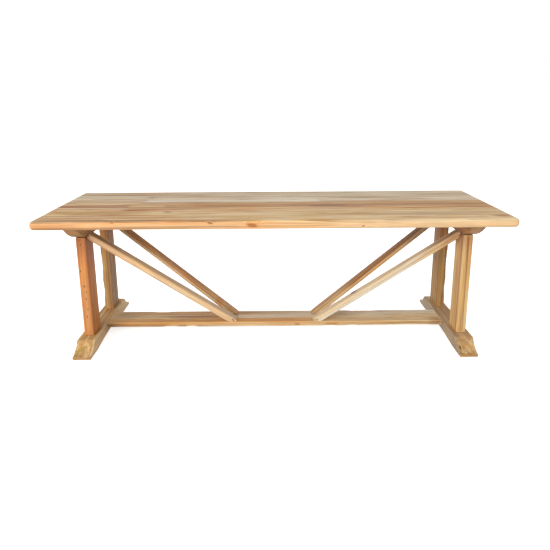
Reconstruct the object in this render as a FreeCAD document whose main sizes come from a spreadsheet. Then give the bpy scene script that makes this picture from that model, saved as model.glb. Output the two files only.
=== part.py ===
"""Trestle dining table in solid wood: a plank top on two double-post trestles, tied by a flat
stretcher and four diagonal braces.

X runs along the table, Y across it and Z up. The origin is on the floor, under the middle of the top.
Every size is a cell of the sheet "sizes", in millimetres, and each piece is bound to those cells.
"""

import FreeCAD, Part
import os
import re
import Sketcher
from FreeCAD import Rotation, Vector

# Driving sizes, each set by itself.
SIZES = {
    # the top: boards glued edge to edge, counted from the front
    "table_height": 770,
    "top_length": 2500,
    "top_thickness": 47,
    "board_1_width": 130,
    "board_2_width": 140,
    "board_3_width": 138,
    "board_4_width": 88,
    "board_5_width": 88,
    "board_6_width": 166,
    "board_7_width": 125,
    "board_8_width": 125,
    "top_corner_radius": 20,
    "top_arris_radius": 17,
    # loose tongues between the boards
    "tongue_thickness": 8,
    "tongue_width": 24,
    "tongue_stop": 60,
    "groove_gap": 1,
    # trestles: two posts on a foot, under a bearer
    "trestle_overhang": 195,
    "post_thickness": 53,
    "post_width": 144,
    "post_inner_edge": 157,
    "tenon_thickness": 24,
    "tenon_shoulder": 21,
    "tenon_length": 45,
    "mortise_gap": 2,
    "arris_size": 3,
    "foot_width": 102,
    "foot_height": 76,
    "foot_length": 950,
    "foot_toe_slope": 108,
    "foot_toe_height": 18,
    "foot_toe_radius": 150,
    "foot_break_radius": 5,
    "foot_arch_length": 660,
    "foot_arch_height": 17,
    "bearer_width": 74,
    "bearer_height": 80,
    "bearer_length": 916,
    "bearer_end_curve": 176,
    "bearer_end_radius": 420,
    "bearer_end_height": 8,
    "bearer_break_radius": 4,
    # stretcher: three lamellas glued edge to edge, with a tenon at each end
    "lamella_front_width": 64,
    "lamella_middle_width": 64,
    "lamella_rear_width": 64,
    "stretcher_thickness": 31,
    "stretcher_tenon_thickness": 14,
    "stretcher_tenon_shoulder": 30,
    "stretcher_tenon_length": 36,
    "peg_side": 10,
    "peg_spacing": 80,
    "peg_recess": 2,
    "peg_length": 51,
    # braces: from the stretcher up to the inner face of each post
    "brace_width": 66,
    "brace_thickness": 37,
    "brace_arris_radius": 8,
    "brace_toe_reach": 227,
    "brace_toe_height": 6,
    "brace_toe_inset": 3,
    "brace_head_rise": 28,
    "brace_head_inset": 29,
    "toe_tenon_setback": 13,
    "toe_tenon_length": 28,
    "toe_tenon_width": 24,
    "toe_tenon_depth": 20,
    "head_tenon_height": 10,
    "head_tenon_width": 24,
    "head_tenon_depth": 24,
    # hexagon coach screws up through the bearers into the top
    "screw_radius": 4,
    "screw_length": 66,
    "screw_head_flats": 13,
    "screw_head_height": 5.5,
    "screw_wood": 36,
    "screw_offset": 42,
    "screw_clearance": 0.5,
    "counterbore_radius": 11,
    # a pilot hole is a little wider and deeper than the screw's thread
    "pilot_gap": 0.1,
    "pilot_end_gap": 1,
}

BOARD_COUNT = 8
BOARD_WIDTHS = [f"board_{board}_width" for board in range(1, BOARD_COUNT + 1)]
LAMELLAS = ["front", "middle", "rear"]
LAMELLA_WIDTHS = [f"lamella_{lamella}_width" for lamella in LAMELLAS]

# Lengths and places that follow from the sizes.
FOLLOWS = {
    "top_width": " + ".join(BOARD_WIDTHS),
    "top_underside": "table_height - top_thickness",
    "tongue_bottom": "table_height - top_thickness / 2 - tongue_thickness / 2",
    "tongue_length": "top_length - 2 * tongue_stop",
    "trestle_centre": "top_length / 2 - trestle_overhang",
    "post_outer_edge": "post_inner_edge + post_width",
    "post_middle": "post_inner_edge + post_width / 2",
    "post_inner_face": "trestle_centre - post_thickness / 2",
    "bearer_underside": "top_underside - bearer_height",
    "bearer_inner_face": "trestle_centre - bearer_width / 2",
    "post_height": "bearer_underside - foot_height",
    "tenon_width": "post_width - 2 * tenon_shoulder",
    "foot_inner_face": "trestle_centre - foot_width / 2",
    "toe_start": "foot_length / 2 - foot_toe_slope",
    "arch_end": "foot_arch_length / 2",
    "arch_radius": "(pow(arch_end; 2) + pow(foot_arch_height; 2)) / (2 * foot_arch_height)",
    "peg_bottom": "foot_arch_height + peg_recess",
    "end_curve_start": "bearer_length / 2 - bearer_end_curve",
    "stretcher_width": " + ".join(LAMELLA_WIDTHS),
    "stretcher_underside": "foot_height - stretcher_thickness",
    "stretcher_tenon_width": "stretcher_width - 2 * stretcher_tenon_shoulder",
    "stretcher_tenon_bottom": "stretcher_underside + (stretcher_thickness - stretcher_tenon_thickness) / 2",
    "stretcher_tenon_end": "foot_inner_face + stretcher_tenon_length",
    "peg_place": "foot_inner_face + stretcher_tenon_length / 2",
    "toe_middle": "stretcher_width / 2 - brace_toe_inset - brace_width / 2",
    "head_middle": "post_outer_edge - brace_head_inset - brace_width / 2",
    "toe_top": "foot_height + brace_toe_height",
    "head_top": "bearer_underside + brace_head_rise",
    "brace_run": "post_inner_face - brace_toe_reach",
    "brace_rise": "head_top - toe_top",
    "brace_climb": "sqrt(pow(brace_run; 2) + pow(brace_rise; 2))",
    "brace_shift": "head_middle - toe_middle",
    "brace_depth": "brace_thickness * brace_climb / brace_run",
    "toe_tenon_start": "brace_toe_reach + toe_tenon_setback",
    "toe_tenon_middle": "toe_middle + (toe_tenon_setback + toe_tenon_length / 2) * brace_shift / brace_run",
    "head_tenon_centre": "bearer_underside - (brace_depth - brace_head_rise) / 2",
    "screw_seat": "top_underside - screw_wood",
}
for joint in range(BOARD_COUNT + 1):
    FOLLOWS[f"board_joint_{joint}"] = " + ".join(["0 - (top_width) / 2"] + BOARD_WIDTHS[:joint])
for joint in range(len(LAMELLAS) + 1):
    FOLLOWS[f"lamella_joint_{joint}"] = " + ".join(["0 - (stretcher_width) / 2"] + LAMELLA_WIDTHS[:joint])

doc = FreeCAD.newDocument("trestle_table")
sheet = doc.addObject("Spreadsheet::Sheet", "sizes")
for row, (name, size) in enumerate(SIZES.items(), start=1):
    sheet.set(f"A{row}", name)
    sheet.set(f"B{row}", str(size))
    sheet.setAlias(f"B{row}", name)
doc.recompute()


def formula(text):
    """Turn a length in words into an expression on the sheet's cells."""

    def cell(match):
        word = match.group()
        if word in SIZES:
            return "sizes." + word
        if word in FOLLOWS:
            return "(" + formula(FOLLOWS[word]) + ")"
        return word

    return re.sub(r"[a-z][a-z_0-9]*", cell, str(text))


def length(text):
    """The value of a length in words, in millimetres."""
    expression = formula(text).replace("sizes.", "")
    return float(sheet.evalExpression(expression))


def minus(text):
    return f"0 - ({text})"


def add(kind, name, **bound):
    """A new object whose given properties are bound to lengths in words."""
    thing = doc.addObject(kind, name)
    thing.Label = name
    for prop, text in bound.items():
        thing.setExpression(prop, formula(text))
    return thing


def put(thing, x=0, y=0, z=0):
    for axis, text in zip("xyz", (x, y, z)):
        thing.setExpression(f"Placement.Base.{axis}", formula(text))
    return thing


def block(name, x, y, z):
    """A box between the two lengths given for each axis."""
    sides = {}
    for side, (low, high) in zip(("Length", "Width", "Height"), (x, y, z)):
        sides[side] = f"({high}) - ({low})"
    return put(add("Part::Box", name, **sides), x[0], y[0], z[0])


def pin(name, radius, tall, x, y, z):
    """A round pin or hole that starts at a point and runs up."""
    return put(add("Part::Cylinder", name, Radius=radius, Height=tall), x, y, z)


def group(name, things):
    made = add("Part::Compound", name)
    made.Links = things
    return made


def fuse(name, things):
    made = add("Part::MultiFuse", name)
    made.Shapes = things
    return made


def common(name, things):
    made = add("Part::MultiCommon", name)
    made.Shapes = things
    return made


def cut(name, base, tool):
    made = add("Part::Cut", name)
    made.Base = base
    made.Tool = tool
    return made


# Mirror planes through the middle of the table, by their normals.
ACROSS_X = Vector(1, 0, 0)
ACROSS_Y = Vector(0, 1, 0)


def mirrored(name, source, normal):
    """The other hand of a piece."""
    made = add("Part::Mirroring", name)
    made.Source = source
    made.Normal = normal
    return made


def sketch_on(body, name, role):
    sketch = body.newObject("Sketcher::SketchObject", name)
    plane = next(feature for feature in body.Origin.OriginFeatures if feature.Role == role)
    sketch.AttachmentSupport = [(plane, "")]
    sketch.MapMode = "FlatFace"
    return sketch


def curve_between(start, end, radius):
    """An arc of this radius from one point to the next, with its hollow side on the left."""
    chord = end.sub(start)
    reach = (radius**2 - (chord.Length / 2) ** 2) ** 0.5
    left = Vector(-chord.y, chord.x, 0).normalize()
    centre = start.add(chord.multiply(0.5)).add(left.multiply(reach))
    circle = Part.Circle(centre, Vector(0, 0, 1), radius)
    return Part.ArcOfCircle(circle, circle.parameter(start), circle.parameter(end))


def draw_outline(sketch, corners, arcs=None):
    """Draw a closed outline through corners, each placed by two bound distances.

    An arc is given by the number of the corner it starts from, its radius, and whether it runs
    forwards, with its centre on its left, or backwards.
    """
    arcs = arcs or {}
    points = [Vector(length(x), length(y), 0) for x, y in corners]
    count = len(points)
    starts = []
    for number, start in enumerate(points):
        end = points[(number + 1) % count]
        if number in arcs:
            radius, forwards = arcs[number]
            first, last = (start, end) if forwards else (end, start)
            line = sketch.addGeometry(curve_between(first, last, length(radius)))
            starts.append((line, 1 if forwards else 2))
        else:
            line = sketch.addGeometry(Part.LineSegment(start, end))
            starts.append((line, 1))
    for number, (line, start) in enumerate(starts):
        following, following_start = starts[(number + 1) % count]
        sketch.addConstraint(Sketcher.Constraint("Coincident", line, 3 - start, following, following_start))
    for number, (x, y) in enumerate(corners):
        line, start = starts[number]
        for kind, text in (("DistanceX", x), ("DistanceY", y)):
            place = sketch.addConstraint(Sketcher.Constraint(kind, -1, 1, line, start, length(text)))
            sketch.setExpression(f"Constraints[{place}]", formula(text))
    for number, (radius, _) in arcs.items():
        line, _ = starts[number]
        place = sketch.addConstraint(Sketcher.Constraint("Radius", line, length(radius)))
        sketch.setExpression(f"Constraints[{place}]", formula(radius))


def rectangle(half_x, half_y):
    """The corners of a rectangle about the origin."""
    left, front = minus(half_x), minus(half_y)
    return [(left, front), (half_x, front), (half_x, half_y), (left, half_y)]


def pad(body, name, sketch, thick, symmetric=False, down=False):
    made = body.newObject("PartDesign::Pad", name)
    made.Profile = sketch
    made.SideType = "Symmetric" if symmetric else "One side"
    made.Reversed = down
    made.setExpression("Length", formula(thick))
    sketch.Visibility = False
    doc.recompute()
    return made


def ease_edges(body, kind, prop, name, size, chosen):
    """Put a fillet or chamfer on the edges of the body's tip that pass the test."""
    tip = body.Tip
    names = []
    for number, edge in enumerate(tip.Shape.Edges, start=1):
        if chosen(edge):
            names.append(f"Edge{number}")
    made = body.newObject(kind, name)
    made.Base = (tip, names)
    made.setExpression(prop, formula(size))
    doc.recompute()
    return made


def round_edges(body, name, radius, chosen):
    return ease_edges(body, "PartDesign::Fillet", "Radius", name, radius, chosen)


def bevel_edges(body, name, size, chosen):
    return ease_edges(body, "PartDesign::Chamfer", "Size", name, size, chosen)


NEAR = 0.001  # lengths that differ by less than this count as equal


def extents(edge):
    box = edge.BoundBox
    return (box.XLength, box.YLength, box.ZLength)


def runs_along(edge, axis):
    """Whether an edge is parallel to an axis, 0 for X, 1 for Y and 2 for Z."""
    return sum(extents(edge)) - extents(edge)[axis] < NEAR


def lies_in_face(edge, axis):
    """Whether an edge lies wholly in a plane square to an axis."""
    return extents(edge)[axis] < NEAR


def new_body(name):
    body = doc.addObject("PartDesign::Body", name)
    body.Label = name
    return body


def make_top_panel():
    """The whole top in one, with rounded corners and arrises, before it is split into boards."""
    body = new_body("top_panel")
    sketch = sketch_on(body, "top_outline", "XY_Plane")
    draw_outline(sketch, rectangle("top_length / 2", "top_width / 2"))
    pad(body, "top_pad", sketch, "top_thickness")
    round_edges(body, "top_corners", "top_corner_radius", lambda edge: runs_along(edge, 2))
    round_edges(body, "top_arrises", "top_arris_radius", lambda edge: lies_in_face(edge, 2))
    return put(body, z="top_underside")


def screw_places():
    """X and Y of each coach screw of the right trestle: one either side of each post."""
    inside = "post_inner_edge - screw_offset"
    outside = "post_outer_edge + screw_offset"
    return [("trestle_centre", place) for place in (minus(outside), minus(inside), inside, outside)]


def make_pilot_holes():
    """Blind holes for the screws, drilled up into the glued top."""
    deep = "screw_length - screw_wood + pilot_end_gap"
    holes = []
    for end in ("", "0 - "):
        for x, y in screw_places():
            name = f"pilot_hole_{len(holes) + 1}"
            holes.append(pin(name, "screw_radius + pilot_gap", deep, f"{end}({x})", y, "top_underside"))
    return group("pilot_holes", holes)


def make_tongues(pilot_holes):
    tongues = []
    for joint in range(1, BOARD_COUNT):
        middle = f"board_joint_{joint}"
        tongue = block(
            f"tongue_blank_{joint}",
            ("0 - tongue_length / 2", "tongue_length / 2"),
            (f"{middle} - tongue_width / 2", f"{middle} + tongue_width / 2"),
            ("tongue_bottom", "tongue_bottom + tongue_thickness"),
        )
        tongues.append(cut(f"top_tongue_{joint}", tongue, pilot_holes))
    return tongues


def make_grooves():
    """The space that the tongues take, with a little room for glue at the bottom of each groove."""
    grooves = []
    for joint in range(1, BOARD_COUNT):
        middle = f"board_joint_{joint}"
        groove = block(
            f"groove_{joint}",
            ("0 - tongue_length / 2", "tongue_length / 2"),
            (f"{middle} - tongue_width / 2 - groove_gap", f"{middle} + tongue_width / 2 + groove_gap"),
            ("tongue_bottom", "tongue_bottom + tongue_thickness"),
        )
        grooves.append(groove)
    return group("grooves", grooves)


def make_top_boards(pilot_holes):
    panel = cut("drilled_panel", make_top_panel(), pilot_holes)
    grooves = make_grooves()
    boards = []
    for board in range(1, BOARD_COUNT + 1):
        strip = block(
            f"strip_{board}",
            ("0 - top_length / 2", "top_length / 2"),
            (f"board_joint_{board - 1}", f"board_joint_{board}"),
            ("top_underside", "table_height"),
        )
        plain = common(f"plain_board_{board}", [panel, strip])
        boards.append(cut(f"top_board_{board}", plain, grooves))
    return boards


def head_tenon(name, gap):
    """The tenon of the right rear brace's head, or with a gap at its end the mortise for it."""
    return block(
        name,
        ("bearer_inner_face", f"post_inner_face + head_tenon_depth + {gap}"),
        ("head_middle - head_tenon_width / 2", "head_middle + head_tenon_width / 2"),
        ("head_tenon_centre - head_tenon_height / 2", "head_tenon_centre + head_tenon_height / 2"),
    )


def toe_tenon(name, gap):
    """The tenon of the right rear brace's toe, or with a gap under it the mortise for it."""
    return block(
        name,
        ("toe_tenon_start", "toe_tenon_start + toe_tenon_length"),
        ("toe_tenon_middle - toe_tenon_width / 2", "toe_tenon_middle + toe_tenon_width / 2"),
        (f"foot_height - toe_tenon_depth - {gap}", "toe_top"),
    )


def make_post():
    """The rear post of the right trestle: a shaft with a tenon at each end, mortised for the brace."""
    body = new_body("post_blank")
    shaft = sketch_on(body, "post_section", "XY_Plane")
    draw_outline(shaft, rectangle("post_thickness / 2", "post_width / 2"))
    pad(body, "post_shaft", shaft, "post_height")
    round_edges(body, "post_arrises", "arris_size", lambda edge: runs_along(edge, 2))
    tenon = sketch_on(body, "tenon_section", "XY_Plane")
    tenon.setExpression("AttachmentOffset.Base.z", formula("0 - tenon_length"))
    draw_outline(tenon, rectangle("tenon_thickness / 2", "tenon_width / 2"))
    pad(body, "post_tenons", tenon, "post_height + 2 * tenon_length")
    put(body, "trestle_centre", "post_middle", "foot_height")
    return cut("right_rear_post", body, head_tenon("head_mortise", "mortise_gap"))


def make_post_mortises(name, bottom, top):
    """The sockets for the tenons of both posts of the right trestle, between two heights."""
    mortises = []
    for side, middle in (("front", minus("post_middle")), ("rear", "post_middle")):
        mortise = block(
            f"{name}_{side}",
            ("trestle_centre - tenon_thickness / 2", "trestle_centre + tenon_thickness / 2"),
            (f"{middle} - tenon_width / 2", f"{middle} + tenon_width / 2"),
            (bottom, top),
        )
        mortises.append(mortise)
    return mortises


def square_pegs(name, bottom, top):
    """A square bar at each place where a peg locks the stretcher's right tenon into the foot."""
    bars = []
    for side in ("", "0 - "):
        middle = f"({side}peg_spacing / 2)"
        bar = block(
            f"{name}_{len(bars) + 1}",
            ("peg_place - peg_side / 2", "peg_place + peg_side / 2"),
            (f"{middle} - peg_side / 2", f"{middle} + peg_side / 2"),
            (bottom, top),
        )
        bars.append(bar)
    return bars


def make_peg_holes():
    return square_pegs("peg_hole", "0", "peg_bottom + peg_length + mortise_gap")


def make_pegs():
    return group("right_stretcher_pegs", square_pegs("peg", "peg_bottom", "peg_bottom + peg_length"))


def make_foot(peg_holes):
    """The right foot: a hollow slope down to each toe, and a low arch under the middle.

    It stands on the two flats between its arch and its toes.
    """
    body = new_body("foot_blank")
    profile = sketch_on(body, "foot_profile", "YZ_Plane")
    corners = [
        ("0 - foot_length / 2", "0"),
        ("0 - arch_end", "0"),
        ("arch_end", "0"),
        ("foot_length / 2", "0"),
        ("foot_length / 2", "foot_toe_height"),
        ("toe_start", "foot_height"),
        ("0 - toe_start", "foot_height"),
        ("0 - foot_length / 2", "foot_toe_height"),
    ]
    slope = ("foot_toe_radius", False)
    draw_outline(profile, corners, {1: ("arch_radius", False), 4: slope, 6: slope})
    pad(body, "foot_pad", profile, "foot_width", symmetric=True)
    above_sole = lambda edge: edge.BoundBox.ZMin > NEAR and runs_along(edge, 0)
    round_edges(body, "foot_breaks", "foot_break_radius", above_sole)
    bevel_edges(body, "foot_arrises", "arris_size", lambda edge: lies_in_face(edge, 0))
    put(body, "trestle_centre")
    mortises = make_post_mortises("foot_mortise", "foot_height - tenon_length - mortise_gap", "foot_height")
    socket = block(
        "stretcher_mortise",
        ("foot_inner_face", "stretcher_tenon_end + mortise_gap"),
        ("0 - stretcher_tenon_width / 2", "stretcher_tenon_width / 2"),
        ("stretcher_tenon_bottom", "stretcher_tenon_bottom + stretcher_tenon_thickness"),
    )
    return cut("right_foot", body, fuse("foot_sockets", mortises + [socket] + peg_holes))


def make_bearer():
    """The right bearer under the top, with its ends curved up to meet it."""
    body = new_body("bearer_blank")
    profile = sketch_on(body, "bearer_profile", "YZ_Plane")
    corners = [
        ("0 - end_curve_start", "0"),
        ("end_curve_start", "0"),
        ("bearer_length / 2", "bearer_height - bearer_end_height"),
        ("bearer_length / 2", "bearer_height"),
        ("0 - bearer_length / 2", "bearer_height"),
        ("0 - bearer_length / 2", "bearer_height - bearer_end_height"),
    ]
    end = ("bearer_end_radius", True)
    draw_outline(profile, corners, {1: end, 5: end})
    pad(body, "bearer_pad", profile, "bearer_width", symmetric=True)

    def below_top(edge):
        return edge.BoundBox.ZMin < length("bearer_height") - NEAR

    breaks = lambda edge: below_top(edge) and runs_along(edge, 0)
    round_edges(body, "bearer_breaks", "bearer_break_radius", breaks)
    arrises = lambda edge: below_top(edge) and lies_in_face(edge, 0)
    bevel_edges(body, "bearer_arrises", "arris_size", arrises)
    put(body, "trestle_centre", z="bearer_underside")
    socket_top = "bearer_underside + tenon_length + mortise_gap"
    sockets = make_post_mortises("bearer_mortise", "bearer_underside", socket_top)
    for number, (x, y) in enumerate(screw_places(), start=1):
        hole = "screw_radius + screw_clearance"
        sockets.append(pin(f"screw_hole_{number}", hole, "screw_wood", x, y, "screw_seat"))
        deep = "bearer_height - screw_wood"
        sockets.append(pin(f"counterbore_{number}", "counterbore_radius", deep, x, y, "bearer_underside"))
    return cut("right_bearer", body, fuse("bearer_sockets", sockets))


def make_lamellas(peg_holes):
    """The stretcher, drilled and tenoned as one plank and split into its lamellas."""
    body = new_body("stretcher_plank")
    section = sketch_on(body, "stretcher_section", "YZ_Plane")
    draw_outline(section, rectangle("stretcher_width / 2", "stretcher_thickness / 2"))
    pad(body, "stretcher_pad", section, "2 * foot_inner_face", symmetric=True)
    round_edges(body, "stretcher_arrises", "arris_size", lambda edge: runs_along(edge, 0))
    put(body, z="stretcher_underside + stretcher_thickness / 2")
    tenons = block(
        "stretcher_tenons",
        ("0 - stretcher_tenon_end", "stretcher_tenon_end"),
        ("0 - stretcher_tenon_width / 2", "stretcher_tenon_width / 2"),
        ("stretcher_tenon_bottom", "stretcher_tenon_bottom + stretcher_tenon_thickness"),
    )
    rear_mortise = toe_tenon("toe_mortise", "mortise_gap")
    front_mortise = mirrored("front_toe_mortise", rear_mortise, ACROSS_Y)
    right_holes = group("right_stretcher_holes", peg_holes + [rear_mortise, front_mortise])
    left_holes = mirrored("left_stretcher_holes", right_holes, ACROSS_X)
    holes = group("stretcher_holes", [right_holes, left_holes])
    plank = cut("mortised_plank", fuse("tenoned_plank", [body, tenons]), holes)
    lamellas = []
    for number, lamella in enumerate(LAMELLAS):
        strip = block(
            f"lamella_strip_{lamella}",
            ("0 - stretcher_tenon_end", "stretcher_tenon_end"),
            (f"lamella_joint_{number}", f"lamella_joint_{number + 1}"),
            ("stretcher_underside", "foot_height"),
        )
        lamellas.append(common(f"stretcher_{lamella}_lamella", [plank, strip]))
    return lamellas


def make_brace():
    """The right rear brace: a bar cut to the stretcher, the post and the bearer, with stub tenons.

    The bar's top face climbs from the stretcher to the post and stays level across the table, while
    the bar itself spreads out towards the post.
    """
    bar = new_body("brace_bar")
    outline = sketch_on(bar, "brace_outline", "XY_Plane")
    outline.setExpression("AttachmentOffset.Rotation.Angle", formula("atan(brace_shift / brace_climb)"))
    spare = "brace_thickness + brace_width"
    ends = (f"0 - ({spare})", f"brace_climb + {spare}")
    sides = ("0 - brace_width / 2", "brace_width / 2")
    corners = [(ends[0], sides[0]), (ends[1], sides[0]), (ends[1], sides[1]), (ends[0], sides[1])]
    draw_outline(outline, corners)
    pad(bar, "brace_pad", outline, "brace_thickness", down=True)
    long_edges = lambda edge: edge.Length > length("brace_climb")
    round_edges(bar, "brace_arrises", "brace_arris_radius", long_edges)
    bar.Placement.Rotation = Rotation(Vector(0, -1, 0), 1)
    bar.setExpression("Placement.Rotation.Angle", formula("atan(brace_rise / brace_run)"))
    put(bar, "brace_toe_reach", "toe_middle", "toe_top")
    room = new_body("brace_room")
    profile = sketch_on(room, "brace_profile", "XZ_Plane")
    corners = [
        ("brace_toe_reach", "foot_height"),
        ("post_inner_face", "foot_height"),
        ("post_inner_face", "bearer_underside"),
        ("bearer_inner_face", "bearer_underside"),
        ("bearer_inner_face", "top_underside"),
        ("brace_toe_reach", "top_underside"),
    ]
    draw_outline(profile, corners)
    pad(room, "brace_room_pad", profile, "2 * post_outer_edge", symmetric=True)
    fitted = common("fitted_brace", [bar, room])
    tenons = [toe_tenon("toe_tenon", "0"), head_tenon("head_tenon", "0")]
    return fuse("right_rear_brace", [fitted] + tenons)


def make_screws():
    """The right trestle's coach screws: a plain shank on a hexagon head that seats in the bearer."""
    screws = []
    for number, (x, y) in enumerate(screw_places(), start=1):
        shank = pin(f"screw_shank_{number}", "screw_radius", "screw_length", x, y, "screw_seat")
        size = {"Circumradius": "screw_head_flats / sqrt(3)", "Height": "screw_head_height"}
        head = add("Part::Prism", f"screw_head_{number}", **size)
        head.Polygon = 6
        put(head, x, y, "screw_seat - screw_head_height")
        screws.append(fuse(f"screw_{number}", [shank, head]))
    return group("right_coach_screws", screws)


def left_of(thing):
    """The left trestle's copy of a piece of the right one."""
    return mirrored(thing.Label.replace("right", "left"), thing, ACROSS_X)


def front_of(thing):
    """The front copy of a piece at the rear."""
    return mirrored(thing.Label.replace("rear", "front"), thing, ACROSS_Y)


def make_nodes():
    """Every separate piece of the table, in the order it would be laid out on a bench."""
    pilot_holes = make_pilot_holes()
    peg_holes = make_peg_holes()
    nodes = make_top_boards(pilot_holes) + make_tongues(pilot_holes) + make_lamellas(peg_holes)
    corner_pieces = [make_post(), make_brace()]
    right_pieces = corner_pieces + [front_of(piece) for piece in corner_pieces]
    right_pieces += [make_foot(peg_holes), make_bearer(), make_screws(), make_pegs()]
    return nodes + right_pieces + [left_of(piece) for piece in right_pieces]


def check(nodes):
    """Stop if anything failed to compute, before a file is written."""
    for thing in doc.Objects:
        if "Invalid" in thing.State or "Error" in thing.State:
            raise RuntimeError(f"{thing.Label} failed: {thing.State}")
    for node in nodes:
        if node.Shape.isNull() or not node.Shape.isValid() or not node.Shape.Solids:
            raise RuntimeError(f"{node.Label} has no valid solid")


nodes = make_nodes()
doc.recompute()
check(nodes)
os.makedirs("parts", exist_ok=True)
for node in nodes:
    node.Shape.exportStep(f"parts/{node.Label}.step")
    solids = node.Shape.Solids
    print(node.Label, len(solids), round(sum(solid.Volume for solid in solids) / 1000), "cm3")
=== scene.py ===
"""Looks of a solid teak trestle table: weathered boards, worn arrises, knots, nail holes and coach screws.

Lengths are in metres. X runs along the table, Y across it from the front to the rear, and Z up from the
floor under the middle of the top.
"""

import logging
import math
from dataclasses import dataclass, replace
from enum import Enum
from typing import Iterable, Sequence, Union

import bmesh
import bpy
from mathutils import Matrix, Vector


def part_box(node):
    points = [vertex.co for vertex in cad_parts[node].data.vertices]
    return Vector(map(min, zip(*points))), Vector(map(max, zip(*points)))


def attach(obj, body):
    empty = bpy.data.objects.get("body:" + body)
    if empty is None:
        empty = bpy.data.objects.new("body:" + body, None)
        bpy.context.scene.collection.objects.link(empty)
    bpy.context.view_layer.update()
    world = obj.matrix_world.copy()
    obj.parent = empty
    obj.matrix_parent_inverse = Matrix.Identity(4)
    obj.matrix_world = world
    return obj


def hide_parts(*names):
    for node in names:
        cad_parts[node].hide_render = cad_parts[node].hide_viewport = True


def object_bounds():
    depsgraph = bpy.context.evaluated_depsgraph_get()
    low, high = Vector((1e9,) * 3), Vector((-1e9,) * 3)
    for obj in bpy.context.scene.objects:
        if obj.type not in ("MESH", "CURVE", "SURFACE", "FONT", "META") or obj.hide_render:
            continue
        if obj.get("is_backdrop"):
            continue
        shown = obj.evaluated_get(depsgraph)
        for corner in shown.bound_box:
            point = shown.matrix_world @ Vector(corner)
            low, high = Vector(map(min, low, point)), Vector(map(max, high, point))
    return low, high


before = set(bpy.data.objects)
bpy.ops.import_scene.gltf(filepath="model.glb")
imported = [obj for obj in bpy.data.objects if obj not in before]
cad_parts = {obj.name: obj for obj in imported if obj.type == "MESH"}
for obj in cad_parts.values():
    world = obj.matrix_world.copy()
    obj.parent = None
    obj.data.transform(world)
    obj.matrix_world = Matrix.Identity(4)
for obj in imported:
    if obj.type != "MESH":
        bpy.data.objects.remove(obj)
CAD_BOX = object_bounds()

LOG = logging.getLogger("trestle_table")
BODY = "root"
RUBBED = "rubbed"

Socket = bpy.types.NodeSocket


class Tone(Enum):
    """Colours of the wood and its marks, as display colours."""

    CHALK = "EADFC8"
    SAPWOOD = "E2D2B6"
    CREAM = "EBD0A2"
    STRAW = "E2C28A"
    APRICOT = "EFC08C"
    PEACH = "F0B274"
    HONEY = "DAAE6E"
    BISCUIT = "DCBE98"
    SAND = "C9B190"
    TAN = "C99C66"
    FAWN = "AE8C66"
    AMBER = "D28D4A"
    ORANGE = "D69850"
    COPPER = "BF7635"
    SIENNA = "A36034"
    RUST = "B47A46"
    WHEAT = "C49254"
    MOSS = "BA9852"
    DRAB = "AE8A52"
    ASH = "A08C74"
    UMBER = "8F6A48"
    CHESTNUT = "7E5538"
    WALNUT = "553A28"
    SOOT = "2E221A"

    def linear(self) -> tuple[float, float, float, float]:
        """Turn the colour into the renderer's linear values.

        Returns:
            Red, green and blue, and full opacity.
        """
        channels = (int(self.value[place : place + 2], 16) / 255 for place in (0, 2, 4))
        red, green, blue = (((c + 0.055) / 1.055) ** 2.4 if c > 0.04045 else c / 12.92 for c in channels)
        return (red, green, blue, 1.0)


Value = Union[float, Sequence[float], Tone, Socket]


class Axis(Enum):
    """Directions of the table's own frame."""

    X = (1.0, 0.0, 0.0)
    Y = (0.0, 1.0, 0.0)
    Z = (0.0, 0.0, 1.0)

    @property
    def vector(self) -> Vector:
        """The direction as a vector."""
        return Vector(self.value)


@dataclass(frozen=True)
class Grain:
    """How the fibres lie in a piece: its directions along and across, and the point they count from."""

    along: Vector
    across: Vector
    origin: Vector

    def matrix(self) -> Matrix:
        """The turn from the table's frame to along, across and through the piece."""
        through = self.along.cross(self.across).normalized()
        return Matrix((self.along.normalized(), self.across.normalized(), through))


@dataclass(frozen=True)
class Streak:
    """A long stripe or patch of another tone, in the piece's own directions.

    start and end are along the fibres, centre and width across them, and soft is how far its ends fade.
    A streak on an edge has its centre and width counted through the piece instead.
    """

    tone: Tone
    start: float
    end: float
    centre: float
    width: float
    strength: float = 0.8
    soft: float = 0.04
    edge: bool = False


@dataclass(frozen=True)
class Knot:
    """A knot about a line that goes right through the piece, or through its edges, across its fibres."""

    along: float
    centre: float
    radius: float
    strength: float = 0.85
    edge: bool = False
    halo: Tone = Tone.CHESTNUT
    heart: Tone = Tone.WALNUT


@dataclass(frozen=True)
class Nail:
    """A nail hole in the faces that look through the piece's edges: its place along and through the piece."""

    along: float
    through: float
    radius: float = 0.0019
    depth: float = 0.004


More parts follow.
